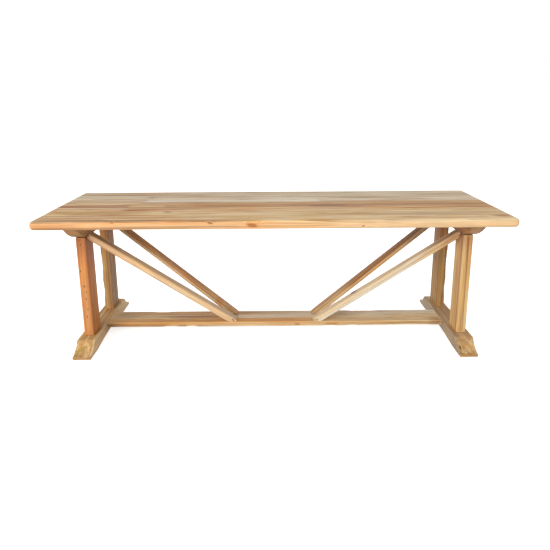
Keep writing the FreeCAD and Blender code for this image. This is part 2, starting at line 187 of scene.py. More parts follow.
@dataclass(frozen=True)
class Timber:
    """The finish of one piece of weathered teak.

    ground, light and dark are the tones of the broad figure, which repeats figure times to the metre. line
    and pale are the tones of the fine lines over it, and lines and pales how strongly they show. weathered
    lies over it all in clouds, rubbed on the arrises, and upper, which is painted light and
    shade, on the faces that look up. pith is how far across and through the tree's heart lies, and
    pith_slope how it leans. streaks lie under the fine lines, and shades over them. seams are the places,
    across, of the glued joints. Shares go from 0 to 1.
    """

    ground: Tone = Tone.HONEY
    light: Tone = Tone.STRAW
    dark: Tone = Tone.TAN
    figure: float = 26.0
    line: Tone = Tone.CHESTNUT
    lines: float = 0.55
    pale: Tone = Tone.SAPWOOD
    pales: float = 0.35
    weathered: Tone = Tone.SAND
    weathering: float = 0.25
    rubbed: Tone = Tone.STRAW
    rub: float = 0.35
    # Painted light and shade: a tone for the faces that look up, standing in for the light that falls on
    # them.
    upper: Tone = Tone.UMBER
    painted_top_shading_share: float = 0.0
    end_grain: Tone = Tone.CHESTNUT
    pith: tuple[float, float] = (0.01, -0.09)
    pith_slope: float = 0.012
    ring_width: float = 0.0045
    ring_strength: float = 0.35
    seed: float = 0.0
    streaks: tuple[Streak, ...] = ()
    shades: tuple[Streak, ...] = ()
    knots: tuple[Knot, ...] = ()
    nails: tuple[Nail, ...] = ()
    seams: tuple[float, ...] = ()


class NodeBench:
    """Adds nodes to a tree and wires them. A plain number or a tone does wherever a socket does."""

    def __init__(self, tree: bpy.types.NodeTree) -> None:
        """Start on an emptied tree."""
        self.tree = tree
        tree.nodes.clear()

    def add(self, kind: str, inputs: dict | None = None, **settings: object) -> bpy.types.Node:
        """Add a node.

        Args:
            kind: The node's type.
            inputs: Values or sockets for its inputs, by name or number.
            settings: Its other properties.

        Returns:
            The node.
        """
        node = self.tree.nodes.new(kind)
        for name, value in settings.items():
            setattr(node, name, value)
        for name, value in (inputs or {}).items():
            self.feed(node.inputs[name], value)
        return node

    def feed(self, socket: Socket, value: Value) -> None:
        """Link a socket to an input, or set the input's value.

        Args:
            socket: The input.
            value: A socket, a number, a vector or a tone.
        """
        if isinstance(value, Socket):
            self.tree.links.new(value, socket)
        else:
            socket.default_value = value.linear() if isinstance(value, Tone) else value

    def math(self, operation: str, first: Value, second: Value = 0.0) -> Socket:
        """The result of a sum on two numbers."""
        return self.add("ShaderNodeMath", {0: first, 1: second}, operation=operation).outputs[0]

    def plus(self, first: Value, second: Value) -> Socket:
        """One number plus another."""
        return self.math("ADD", first, second)

    def minus(self, first: Value, second: Value) -> Socket:
        """One number less another."""
        return self.math("SUBTRACT", first, second)

    def times(self, first: Value, second: Value) -> Socket:
        """One number times another."""
        return self.math("MULTIPLY", first, second)

    def vector(self, operation: str, first: Value, second: Value) -> Socket:
        """The result of a sum on two vectors; a dot product or a length is a number."""
        node = self.add("ShaderNodeVectorMath", {0: first, 1: second}, operation=operation)
        return node.outputs["Value" if operation in {"DOT_PRODUCT", "LENGTH"} else "Vector"]

    def length(self, vector: Value) -> Socket:
        """The length of a vector."""
        return self.vector("LENGTH", vector, (0.0, 0.0, 0.0))

    def scaled(self, vector: Value, factor: Value) -> Socket:
        """A vector or colour times a number."""
        node = self.add("ShaderNodeVectorMath", {0: vector, "Scale": factor}, operation="SCALE")
        return node.outputs["Vector"]

    def smooth(self, value: Value, low: Value, high: Value, bottom: Value = 0.0, top: Value = 1.0) -> Socket:
        """A smooth step from bottom to top while value goes from low to high."""
        inputs = {"Value": value, "From Min": low, "From Max": high, "To Min": bottom, "To Max": top}
        return self.add("ShaderNodeMapRange", inputs, interpolation_type="SMOOTHSTEP").outputs["Result"]

    def noise(self, place: Value, seed: Value, detail: float = 2.0, roughness: float = 0.55) -> Socket:
        """Smooth noise about one half, at one cycle to a unit of place."""
        inputs = {"Vector": place, "W": seed, "Scale": 1.0, "Detail": detail, "Roughness": roughness}
        return self.add("ShaderNodeTexNoise", inputs, noise_dimensions="4D").outputs[0]


class ShaderBench(NodeBench):
    """The mixes of colour that the finishes are made of."""

    def blend(self, share: Value, first: Value, second: Value, kind: str = "MIX") -> Socket:
        """A mix of two colours: the first at share 0, the second at 1."""
        inputs = {0: share, 6: first, 7: second}
        return self.add("ShaderNodeMix", inputs, data_type="RGBA", blend_type=kind).outputs[2]

    def ramp(self, value: Value, stops: Sequence[tuple[float, Tone]]) -> Socket:
        """Make a colour that runs through tones.

        Args:
            value: What the colour follows.
            stops: The value at each tone, and the tone, in rising order.

        Returns:
            The colour.
        """
        node = self.add("ShaderNodeValToRGB", {0: value})
        elements = node.color_ramp.elements
        for place, _ in stops[len(elements) :]:
            elements.new(place)
        for element, (place, tone) in zip(elements, stops):
            element.position = place
            element.color = tone.linear()
        return node.outputs["Color"]

    def split(self, vector: Value) -> list[Socket]:
        """The three parts of a vector."""
        return list(self.add("ShaderNodeSeparateXYZ", {0: vector}).outputs)


def new_material(name: str) -> tuple[bpy.types.Material, ShaderBench]:
    """Make a material.

    Args:
        name: Its name.

    Returns:
        The material, and the bench that its nodes are laid out on.
    """
    material = bpy.data.materials.new(name)
    material.use_nodes = True
    return material, ShaderBench(material.node_tree)


def new_object(name: str, data: bpy.types.ID) -> bpy.types.Object:
    """Make an object in the scene.

    Args:
        name: Its name.
        data: The mesh, the lamp or the camera that it shows.

    Returns:
        The object, at the origin.
    """
    made = bpy.data.objects.new(name, data)
    bpy.context.scene.collection.objects.link(made)
    return made


@dataclass(frozen=True)
class Pattern:
    """Noise in the wood, stretched along the fibres.

    cycles are counted per metre along, across and through the piece. step keeps the patterns of one piece
    apart from each other.
    """

    cycles: tuple[float, float, float]
    step: float
    detail: float = 2.0


class TeakFinish:
    """Builds the material of one piece of teak from its timber and its grain."""

    WARP = Pattern((0.9, 3.0, 3.0), 1.0)
    DARK_LINES = Pattern((0.6, 75.0, 75.0), 3.0, 3.0)
    PALE_LINES = Pattern((0.6, 75.0, 75.0), 9.0, 3.0)
    WEATHER = Pattern((1.6, 6.0, 6.0), 4.0, 3.0)
    FRAY = Pattern((7.0, 40.0, 40.0), 5.0)
    FIBRE = Pattern((9.0, 420.0, 420.0), 6.0, 3.0)
    PORE = Pattern((45.0, 1100.0, 1100.0), 7.0)
    HANDLING = Pattern((1.6, 6.0, 6.0), 8.0)
    FIGURE = Pattern((0.8, 1.0, 1.0), 2.0, 5.0)
    FIGURE_STOPS = (0.36, 0.44, 0.5, 0.55, 0.63)

    # The value at which each effect starts, and the value at which it is fully there.
    PALE_BAND = (0.53, 0.64)
    DARK_BAND = (0.53, 0.63)
    WEATHER_BAND = (0.45, 0.68)
    PORE_BAND = (0.62, 0.72)
    # Painted light and shade on the faces that look up: where it starts and where it is full, by how far the
    # normal points up.
    PAINTED_TOP_SHADING_BAND = (0.35, 0.8)
    SAWN_BAND = (0.6, 0.95)
    HALO_BAND = (0.1, 0.6)
    HEART_BAND = (0.55, 0.95)
    MIDDLING = (0.3, 0.7)

    # Where each mark starts to fade and where it ends, as shares of its width or radius.
    STREAK_SIDE = (0.3, 0.6)
    SEAM_SIDE = (0.4, 1.6)
    STAIN_SIDE = (1.0, 2.5)
    HOLE_SIDE = (0.8, 1.3)

    # How much each direction counts in the distance from a nail. A stain runs far along the fibres.
    STAIN_SHAPE = (0.3, 0.0, 1.0)
    HOLE_SHAPE = (1.0, 0.0, 1.0)

    # Of sawn end grain: the shares of plain ground tone and of end tone, and how much clearer its rings are.
    SAWN_GROUND = 0.8
    SAWN_TONE = 0.3
    SAWN_RINGS = 0.25

    # How far into a year's ring the early wood goes, and how far its pores go.
    EARLY_WOOD = 0.55
    POROUS_WOOD = 0.5

    # How far the rings wander, and how far marks fray along, across and through the piece.
    WARP_REACH = 0.022
    FRAY_REACH = (0.096, 0.012, 0.012)

    # How wide a glued joint's dirt is, and how strongly dirt, stains and holes show.
    SEAM_WIDTH = 0.0012
    SEAM_DIRT = 0.5
    NAIL_STAIN = 0.35
    NAIL_HOLE = 0.9

    # Of a knot: its length by its width, where it starts and ends in radii, how many rings it pushes aside,
    # and how strong its halo is beside its heart.
    KNOT_STRETCH = 2.1
    KNOT_EDGE = (0.25, 2.0)
    KNOT_RINGS = 3.0
    HALO_SHARE = 0.5

    FIBRE_SHADES = (0.84, 1.12)
    ROUGHNESS = (0.5, 0.68)
    SPECULAR = 0.22
    RELIEF = 0.0005
    RELIEF_STRENGTH = 0.45
    EARLY_RELIEF = -0.5
    PORE_RELIEF = -0.6
    PORE_SHADE = 0.5

    def __init__(self, name: str, timber: Timber, grain: Grain) -> None:
        """Make the material and the places that its patterns count from.

        Args:
            name: The material's name.
            timber: The look of the wood.
            grain: The run of its fibres.
        """
        self.timber = timber
        self.material, self.bench = new_material(name)
        turn = grain.matrix()
        coordinates = self.bench.add("ShaderNodeTexCoord")
        mapping = {
            "Vector": coordinates.outputs["Object"],
            "Location": -(turn @ grain.origin),
            "Rotation": turn.to_euler(),
        }
        self.place = self.bench.add("ShaderNodeMapping", mapping).outputs["Vector"]
        self.normal = coordinates.outputs["Normal"]
        self.along = grain.along.normalized()
        frayed = self.bench.scaled(self.FRAY_REACH, self.bench.minus(self.spread(self.FRAY), 0.5))
        self.frayed = self.bench.vector("ADD", self.place, frayed)

    def spread(self, pattern: Pattern) -> Socket:
        """A pattern, spread over the piece."""
        stretched = self.bench.vector("MULTIPLY", self.place, pattern.cycles)
        return self.bench.noise(stretched, self.timber.seed + pattern.step, pattern.detail)

    def rings(self, knots: Sequence[Socket]) -> Socket:
        """Growth rings about the pith, bent by the wind of the tree and pushed aside by knots.

        Args:
            knots: The nearness of each knot, from 0 to 1.

        Returns:
            How far the surface is into its year's ring, from 0 to 1.
        """
        bench = self.bench
        timber = self.timber
        along, across, through = bench.split(self.place)
        shift = bench.times(bench.minus(self.spread(self.WARP), 0.5), self.WARP_REACH)
        side = bench.plus(bench.minus(across, timber.pith[0]), shift)
        depth = bench.plus(bench.minus(through, timber.pith[1]), bench.times(along, timber.pith_slope))
        spoke = bench.add("ShaderNodeCombineXYZ", {0: side, 1: depth, 2: 0.0}).outputs[0]
        years = bench.math("DIVIDE", bench.plus(bench.length(spoke), shift), timber.ring_width)
        for nearness in knots:
            years = bench.plus(years, bench.times(nearness, self.KNOT_RINGS))
        return bench.math("FRACT", years)

    def knot_nearness(self, knot: Knot) -> Socket:
        """Find how close the surface is to a knot.

        Args:
            knot: The knot.

        Returns:
            1 at its heart, and 0 from about two radii out.
        """
        across, through = (1 / knot.radius, 0.0)
        centre = (knot.along, knot.centre, 0.0)
        if knot.edge:
            across, through = through, across
            centre = (knot.along, 0.0, knot.centre)
        offset = self.bench.vector("SUBTRACT", self.frayed, centre)
        shares = (1 / (self.KNOT_STRETCH * knot.radius), across, through)
        distance = self.bench.length(self.bench.vector("MULTIPLY", offset, shares))
        return self.bench.smooth(distance, *self.KNOT_EDGE, 1.0, 0.0)

    def within(self, away: Socket, size: float, side: tuple[float, float], strength: float) -> Socket:
        """How much of a mark shows.

        Args:
            away: The distance from the mark's middle.
            size: The mark's width or radius.
            side: Where it starts to fade and where it ends, as shares of its size.
            strength: How much shows in its middle.

        Returns:
            Strength in the middle, and 0 past the mark's end.
        """
        return self.bench.smooth(away, size * side[0], size * side[1], strength, 0.0)

    def streak_share(self, streak: Streak) -> Socket:
        """Find where a streak lies, with its ends and sides frayed along the fibres.

        Args:
            streak: The streak.

        Returns:
            How much of it shows, from 0 to its strength.
        """
        bench = self.bench
        along, across, through = bench.split(self.frayed)
        begun = bench.smooth(along, streak.start - streak.soft, streak.start + streak.soft)
        ended = bench.smooth(along, streak.end - streak.soft, streak.end + streak.soft, 1.0, 0.0)
        away = bench.math("ABSOLUTE", bench.minus(through if streak.edge else across, streak.centre))
        beside = self.within(away, streak.width, self.STREAK_SIDE, streak.strength)
        return bench.times(bench.times(begun, ended), beside)

    def streaked(self, tone: Socket, streaks: Iterable[Streak]) -> Socket:
        """Lay streaks over a colour.

        Args:
            tone: The colour.
            streaks: The streaks, from the lowest to the topmost.

        Returns:
            The colour with its streaks.
        """
        for streak in streaks:
            tone = self.bench.blend(self.streak_share(streak), tone, streak.tone)
        return tone

    def heartwood(self) -> Socket:
        """Lay out broad bands, the piece's own streaks, and fine pale and dark lines along the fibres.

        Returns:
            The colour of the planed wood, without its rings.
        """
        bench = self.bench
        timber = self.timber
        cycles = (self.FIGURE.cycles[0], timber.figure, timber.figure)
        figure = self.spread(replace(self.FIGURE, cycles=cycles))
        tones = (timber.dark, timber.ground, timber.light, timber.ground, timber.dark)
        tone = bench.ramp(figure, tuple(zip(self.FIGURE_STOPS, tones)))
        tone = self.streaked(tone, timber.streaks)
        pale = bench.smooth(self.spread(self.PALE_LINES), *self.PALE_BAND, 0.0, timber.pales)
        tone = bench.blend(pale, tone, timber.pale)
        dark = bench.smooth(self.spread(self.DARK_LINES), *self.DARK_BAND, 0.0, timber.lines)
        return bench.blend(dark, tone, timber.line)

    def ringed(self, tone: Socket, ring: Socket, sawn: Socket) -> Socket:
        """Lay the year's rings over a colour, clearer on sawn ends.

        Args:
            tone: The colour.
            ring: How far the surface is into its year's ring.
            sawn: 1 on end grain, and 0 on the long faces.

        Returns:
            The colour with its rings.
        """
        bench = self.bench
        timber = self.timber
        tone = bench.blend(bench.times(sawn, self.SAWN_GROUND), tone, timber.ground)
        strength = bench.plus(timber.ring_strength, bench.times(sawn, self.SAWN_RINGS))
        early = bench.times(bench.smooth(ring, 0.0, self.EARLY_WOOD, 1.0, 0.0), strength)
        return bench.blend(early, tone, timber.end_grain, "MULTIPLY")

    def weathered(self, tone: Socket) -> Socket:
        """Lay clouds of weather, painted light and shade on the faces that look up, shades and rubbed arrises
        over a colour.

        Args:
            tone: The colour.

        Returns:
            The weathered colour.
        """
        bench = self.bench
        timber = self.timber
        cloud = bench.smooth(self.spread(self.WEATHER), *self.WEATHER_BAND, 0.0, timber.weathering)
        tone = bench.blend(cloud, tone, timber.weathered)
        # Painted light and shade: faces that look up take another tone, standing in for the light that falls
        # on them.
        if timber.painted_top_shading_share:
            upwards = bench.split(self.normal)[2]
            share = bench.smooth(upwards, *self.PAINTED_TOP_SHADING_BAND, 0.0, timber.painted_top_shading_share)
            tone = bench.blend(share, tone, timber.upper)
        tone = self.streaked(tone, timber.shades)
        rubbed = bench.add("ShaderNodeAttribute", attribute_name=RUBBED).outputs["Fac"]
        return bench.blend(bench.times(rubbed, timber.rub), tone, timber.rubbed)

    def knotted(self, tone: Socket, knots: Sequence[tuple[Knot, Socket]]) -> Socket:
        """Lay knots over a colour, each with its halo.

        Args:
            tone: The colour.
            knots: Each knot and how close the surface is to it.

        Returns:
            The colour with its knots.
        """
        bench = self.bench
        for knot, nearness in knots:
            halo = bench.times(bench.smooth(nearness, *self.HALO_BAND), self.HALO_SHARE * knot.strength)
            tone = bench.blend(halo, tone, knot.halo)
            heart = bench.times(bench.smooth(nearness, *self.HEART_BAND), knot.strength)
            tone = bench.blend(heart, tone, knot.heart)
        return tone

    def soiled(self, tone: Socket) -> Socket:
        """Lay dirt along the glued joints, and in and about the nail holes.

        Args:
            tone: The colour.

        Returns:
            The soiled colour.
        """
        bench = self.bench
        for seam in self.timber.seams:
            across = bench.split(self.place)[1]
            away = bench.math("ABSOLUTE", bench.minus(across, seam))
            dirt = self.within(away, self.SEAM_WIDTH, self.SEAM_SIDE, self.SEAM_DIRT)
            tone = bench.blend(dirt, tone, Tone.WALNUT)
        for nail in self.timber.nails:
            offset = bench.vector("SUBTRACT", self.place, (nail.along, 0.0, nail.through))
            away = bench.length(bench.vector("MULTIPLY", offset, self.STAIN_SHAPE))
            stain = self.within(away, nail.radius, self.STAIN_SIDE, self.NAIL_STAIN)
            tone = bench.blend(stain, tone, Tone.CHESTNUT)
            away = bench.length(bench.vector("MULTIPLY", offset, self.HOLE_SHAPE))
            hole = self.within(away, nail.radius, self.HOLE_SIDE, self.NAIL_HOLE)
            tone = bench.blend(hole, tone, Tone.SOOT)
        return tone

    def colour(self, ring: Socket, knots: Sequence[tuple[Knot, Socket]], fibre: Socket) -> Socket:
        """Lay up the wood's colour, from broad heartwood bands down to dirt and single fibres.

        Args:
            ring: How far the surface is into its year's ring.
            knots: Each knot and how close the surface is to it.
            fibre: The pattern of the fibres.

        Returns:
            The colour, without its pores.
        """
        bench = self.bench
        lengthwise = bench.math("ABSOLUTE", bench.vector("DOT_PRODUCT", self.normal, self.along))
        sawn = bench.smooth(lengthwise, *self.SAWN_BAND)
        tone = self.ringed(self.heartwood(), ring, sawn)
        tone = self.knotted(self.weathered(tone), knots)
        tone = bench.blend(bench.times(sawn, self.SAWN_TONE), tone, self.timber.end_grain)
        return bench.scaled(self.soiled(tone), bench.smooth(fibre, *self.MIDDLING, *self.FIBRE_SHADES))

    def build(self) -> bpy.types.Material:
        """Wire the colour, the gloss and the relief to one shader.

        Returns:
            The finished material.
        """
        bench = self.bench
        knots = [(knot, self.knot_nearness(knot)) for knot in self.timber.knots]
        ring = self.rings([nearness for _, nearness in knots])
        fibre = self.spread(self.FIBRE)
        pores = bench.smooth(self.spread(self.PORE), *self.PORE_BAND)
        early = bench.smooth(ring, 0.0, self.POROUS_WOOD, 1.0, 0.0)
        relief = bench.plus(fibre, bench.times(early, self.EARLY_RELIEF))
        relief = bench.plus(relief, bench.times(pores, self.PORE_RELIEF))
        inputs = {"Strength": self.RELIEF_STRENGTH, "Distance": self.RELIEF, "Height": relief}
        bump = bench.add("ShaderNodeBump", inputs)
        pored = bench.times(pores, bench.times(early, self.PORE_SHADE))
        inputs = {
            "Base Color": bench.blend(pored, self.colour(ring, knots, fibre), Tone.CHESTNUT, "MULTIPLY"),
            "Roughness": bench.smooth(self.spread(self.HANDLING), *self.MIDDLING, *self.ROUGHNESS),
            "Normal": bump.outputs["Normal"],
            "Specular IOR Level": self.SPECULAR,
        }
        shader = bench.add("ShaderNodeBsdfPrincipled", inputs)
        bench.add("ShaderNodeOutputMaterial", {"Surface": shader.outputs[0]})
        return self.material


@dataclass(frozen=True)
class ZincPlate:
    """Dull zinc plating on the coach screws."""

    bright: tuple[float, float, float, float] = (0.52, 0.53, 0.54, 1.0)
    dull: tuple[float, float, float, float] = (0.30, 0.30, 0.29, 1.0)
    spangle: float = 350.0
    spangle_detail: float = 3.0
    dull_band: tuple[float, float] = (0.35, 0.65)
    rough_band: tuple[float, float] = (0.3, 0.7)
    roughness: tuple[float, float] = (0.32, 0.55)
    relief: float = 0.0001
    relief_strength: float = 0.3

    def build(self, name: str) -> bpy.types.Material:
        """Make the plating, mottled from bright to dull.

        Args:
            name: The material's name.

        Returns:
            The material.
        """
        material, bench = new_material(name)
        place = bench.add("ShaderNodeTexCoord").outputs["Object"]
        mottle = bench.noise(bench.scaled(place, self.spangle), 0.0, self.spangle_detail)
        inputs = {"Strength": self.relief_strength, "Distance": self.relief, "Height": mottle}
        bump = bench.add("ShaderNodeBump", inputs)
        inputs = {
            "Base Color": bench.blend(bench.smooth(mottle, *self.dull_band), self.bright, self.dull),
            "Metallic": 1.0,
            "Roughness": bench.smooth(mottle, *self.rough_band, *self.roughness),
            "Normal": bump.outputs["Normal"],
        }
        shader = bench.add("ShaderNodeBsdfPrincipled", inputs)
        bench.add("ShaderNodeOutputMaterial", {"Surface": shader.outputs[0]})
        return material


class GeometryBench(NodeBench):
    """A Geometry Nodes tree with named inputs, kept by their identifiers."""

    def __init__(self, name: str, inputs: dict[str, str]) -> None:
        """Make the tree, its geometry in and out, and its named inputs.

        Args:
            name: The tree's name.
            inputs: The kind of each input besides the geometry, by its name.
        """
        super().__init__(bpy.data.node_groups.new(name, "GeometryNodeTree"))
        sockets = self.tree.interface
        for way in ("INPUT", "OUTPUT"):
            sockets.new_socket(name="Geometry", in_out=way, socket_type="NodeSocketGeometry")
        self.identifiers: dict[str, str] = {}
        for label, kind in inputs.items():
            made = sockets.new_socket(name=label, in_out="INPUT", socket_type=f"NodeSocket{kind}")
            self.identifiers[label] = made.identifier
        self.given = self.add("NodeGroupInput").outputs

    def close(self, geometry: Socket, material: Value) -> None:
        """End the tree: single meshes, one material.

        Args:
            geometry: What the tree has made.
            material: The material for all of it.
        """
        real = self.add("GeometryNodeRealizeInstances", {0: geometry}).outputs[0]
        painted = self.add("GeometryNodeSetMaterial", {"Geometry": real, "Material": material}).outputs[0]
        self.add("NodeGroupOutput", {0: painted})

    def apply(self, name: str, mesh: bpy.types.Mesh, values: dict[str, object]) -> bpy.types.Object:
        """Run the tree on a mesh and keep what it makes as a plain mesh.

        Args:
            name: The finished piece's name.
            mesh: The mesh that the tree starts from.
            values: Values for the named inputs.

        Returns:
            The finished piece, at the origin, with no modifier.
        """
        piece = new_object(name, mesh)
        modifier = piece.modifiers.new("tree", "NODES")
        modifier.node_group = self.tree
        for label, value in values.items():
            modifier[self.identifiers[label]] = value
        evaluated = piece.evaluated_get(bpy.context.evaluated_depsgraph_get())
        made = bpy.data.meshes.new_from_object(evaluated)
        piece.modifiers.remove(modifier)
        piece.data = made
        made.name = name
        return piece


class WornTimberTree(GeometryBench):
    """Lets a planed piece shrink a little: long shallow hollows, and arrises rubbed down unevenly."""

    ARRIS_ANGLE = math.radians(12)
    HOLLOW_DETAIL = 1.0
    WEAR_DETAIL = 3.0
    ROUGHNESS = 0.5
    FINER = 6.0
    UNEVENNESS = 3.0
    BRIGHTNESS = 4.0

    def __init__(self) -> None:
        """Build the tree."""
        numbers = dict.fromkeys(("Hollows", "Wear", "Reach", "Seed"), "Float")
        super().__init__("Worn Timber", {**numbers, "Cycles": "Vector", "Material": "Material"})
        given = self.given
        angle = self.add("GeometryNodeInputMeshEdgeAngle").outputs["Unsigned Angle"]
        sharp = self.math("GREATER_THAN", angle, self.ARRIS_ANGLE)
        inputs = {"Geometry": given["Geometry"], "Selection": sharp}
        arrises = self.add("GeometryNodeSeparateGeometry", inputs, domain="EDGE").outputs["Selection"]
        near = self.add("GeometryNodeProximity", {0: arrises}, target_element="EDGES")
        rubbed = self.smooth(near.outputs["Distance"], 0.0, given["Reach"], 1.0, 0.0)
        place = self.add("GeometryNodeInputPosition").outputs[0]
        stretched = self.vector("MULTIPLY", place, given["Cycles"])
        hollow = self.noise(stretched, given["Seed"], self.HOLLOW_DETAIL, self.ROUGHNESS)
        finer = self.scaled(stretched, self.FINER)
        uneven = self.noise(finer, given["Seed"], self.WEAR_DETAIL, self.ROUGHNESS)
        uneven = self.math("POWER", uneven, self.UNEVENNESS)
        worn = self.times(self.times(uneven, given["Wear"]), rubbed)
        depth = self.plus(self.times(hollow, given["Hollows"]), worn)
        normal = self.add("GeometryNodeInputNormal").outputs[0]
        inward = self.scaled(normal, self.times(depth, -1.0))
        bright = self.times(rubbed, self.times(uneven, self.BRIGHTNESS))
        inputs = {"Geometry": given["Geometry"], "Name": RUBBED, "Value": bright}
        marked = self.add("GeometryNodeStoreNamedAttribute", inputs, data_type="FLOAT", domain="POINT")
        inputs = {"Geometry": marked.outputs[0], "Offset": inward}
        moved = self.add("GeometryNodeSetPosition", inputs)
        self.close(moved.outputs[0], given["Material"])


class CoachScrewTree(GeometryBench):
    """A hexagon coach screw at each point, with its head down and its thread up."""

    HEXAGON = 6
    ROUND = 20
    RIB_SIDES = 4
    THREAD_TURNS = 9.0
    TURN_STEPS = 14
    THREAD_SHARE = 0.94

    # Shares of the head's height and of its radius.
    CHAMFER = 0.2
    CROWN = 0.86

    # Shares of the shank's radius.
    CORE = 0.72
    THREAD_START = 0.82
    RIB = 0.17

    # Shares of the core's radius.
    TIP = 0.4
    THREAD_END = 0.6

    def __init__(self) -> None:
        """Build the tree."""
        sizes = ("Shank Radius", "Shank Length", "Head Radius", "Head Height", "Thread Length")
        super().__init__("Coach Screws", {**dict.fromkeys(sizes, "Float"), "Material": "Material"})
        given = self.given
        plain = self.minus(given["Shank Length"], given["Thread Length"])
        joined = self.add("GeometryNodeJoinGeometry")
        for part in (*self.head(), *self.shank(plain), self.thread(plain)):
            self.tree.links.new(part, joined.inputs[0])
        placed = {"Points": given["Geometry"], "Instance": joined.outputs[0]}
        copies = self.add("GeometryNodeInstanceOnPoints", placed).outputs[0]
        self.close(copies, given["Material"])

    def head(self) -> tuple[Socket, Socket]:
        """Make the head.

        Returns:
            Its block and, under that, its chamfered crown.
        """
        radius, height = self.given["Head Radius"], self.given["Head Height"]
        chamfer = self.times(height, self.CHAMFER)
        block = self.minus(height, chamfer)
        hexagon = {"Vertices": self.HEXAGON, "Radius": radius, "Depth": block}
        prism = self.add("GeometryNodeMeshCylinder", hexagon).outputs["Mesh"]
        cone = {"Vertices": self.HEXAGON, "Radius Top": radius, "Depth": chamfer}
        cone["Radius Bottom"] = self.times(radius, self.CROWN)
        crown = self.add("GeometryNodeMeshCone", cone).outputs["Mesh"]
        return self.lifted(prism, self.times(block, -0.5)), self.lifted(crown, self.times(height, -1.0))

    def shank(self, plain: Socket) -> tuple[Socket, Socket]:
        """Make the shank.

        Args:
            plain: The length of its plain part.

        Returns:
            Its plain part and, over that, the tapered core of the thread.
        """
        radius = self.given["Shank Radius"]
        cylinder = {"Vertices": self.ROUND, "Radius": radius, "Depth": plain}
        neck = self.add("GeometryNodeMeshCylinder", cylinder).outputs["Mesh"]
        core = self.times(radius, self.CORE)
        cone = {"Vertices": self.ROUND, "Radius Top": self.times(core, self.TIP), "Radius Bottom": core}
        cone["Depth"] = self.given["Thread Length"]
        point = self.add("GeometryNodeMeshCone", cone).outputs["Mesh"]
        return self.lifted(neck, self.times(plain, 0.5)), self.lifted(point, plain)

    def thread(self, plain: Socket) -> Socket:
        """Wind the thread's rib about the core.

        Args:
            plain: The length of the shank's plain part.

        Returns:
            The rib.
        """
        radius = self.given["Shank Radius"]
        core = self.times(radius, self.CORE)
        spiral = {
            "Resolution": self.TURN_STEPS,
            "Rotations": self.THREAD_TURNS,
            "Start Radius": self.times(radius, self.THREAD_START),
            "End Radius": self.times(core, self.THREAD_END),
            "Height": self.times(self.given["Thread Length"], self.THREAD_SHARE),
        }
        helix = self.add("GeometryNodeCurveSpiral", spiral).outputs[0]
        rib = {"Resolution": self.RIB_SIDES, "Radius": self.times(radius, self.RIB)}
        profile = self.add("GeometryNodeCurvePrimitiveCircle", rib).outputs["Curve"]
        inputs = {"Curve": helix, "Profile Curve": profile, "Fill Caps": True}
        return self.lifted(self.add("GeometryNodeCurveToMesh", inputs).outputs[0], plain)

    def lifted(self, mesh: Socket, height: Value) -> Socket:
        """A mesh moved up by a height."""
        shift = self.add("ShaderNodeCombineXYZ", {2: height}).outputs[0]
        return self.add("GeometryNodeTransform", {"Geometry": mesh, "Translation": shift}).outputs[0]


@dataclass(frozen=True)
class Wane:
    """A stretch of arris where the tree's own edge was left: a soft hollow along a line.

    The line runs along the piece through a point, and vertices within reach of it sink by up to depth.
    """

    centre: Vector
    length: float
    reach: float
    depth: float


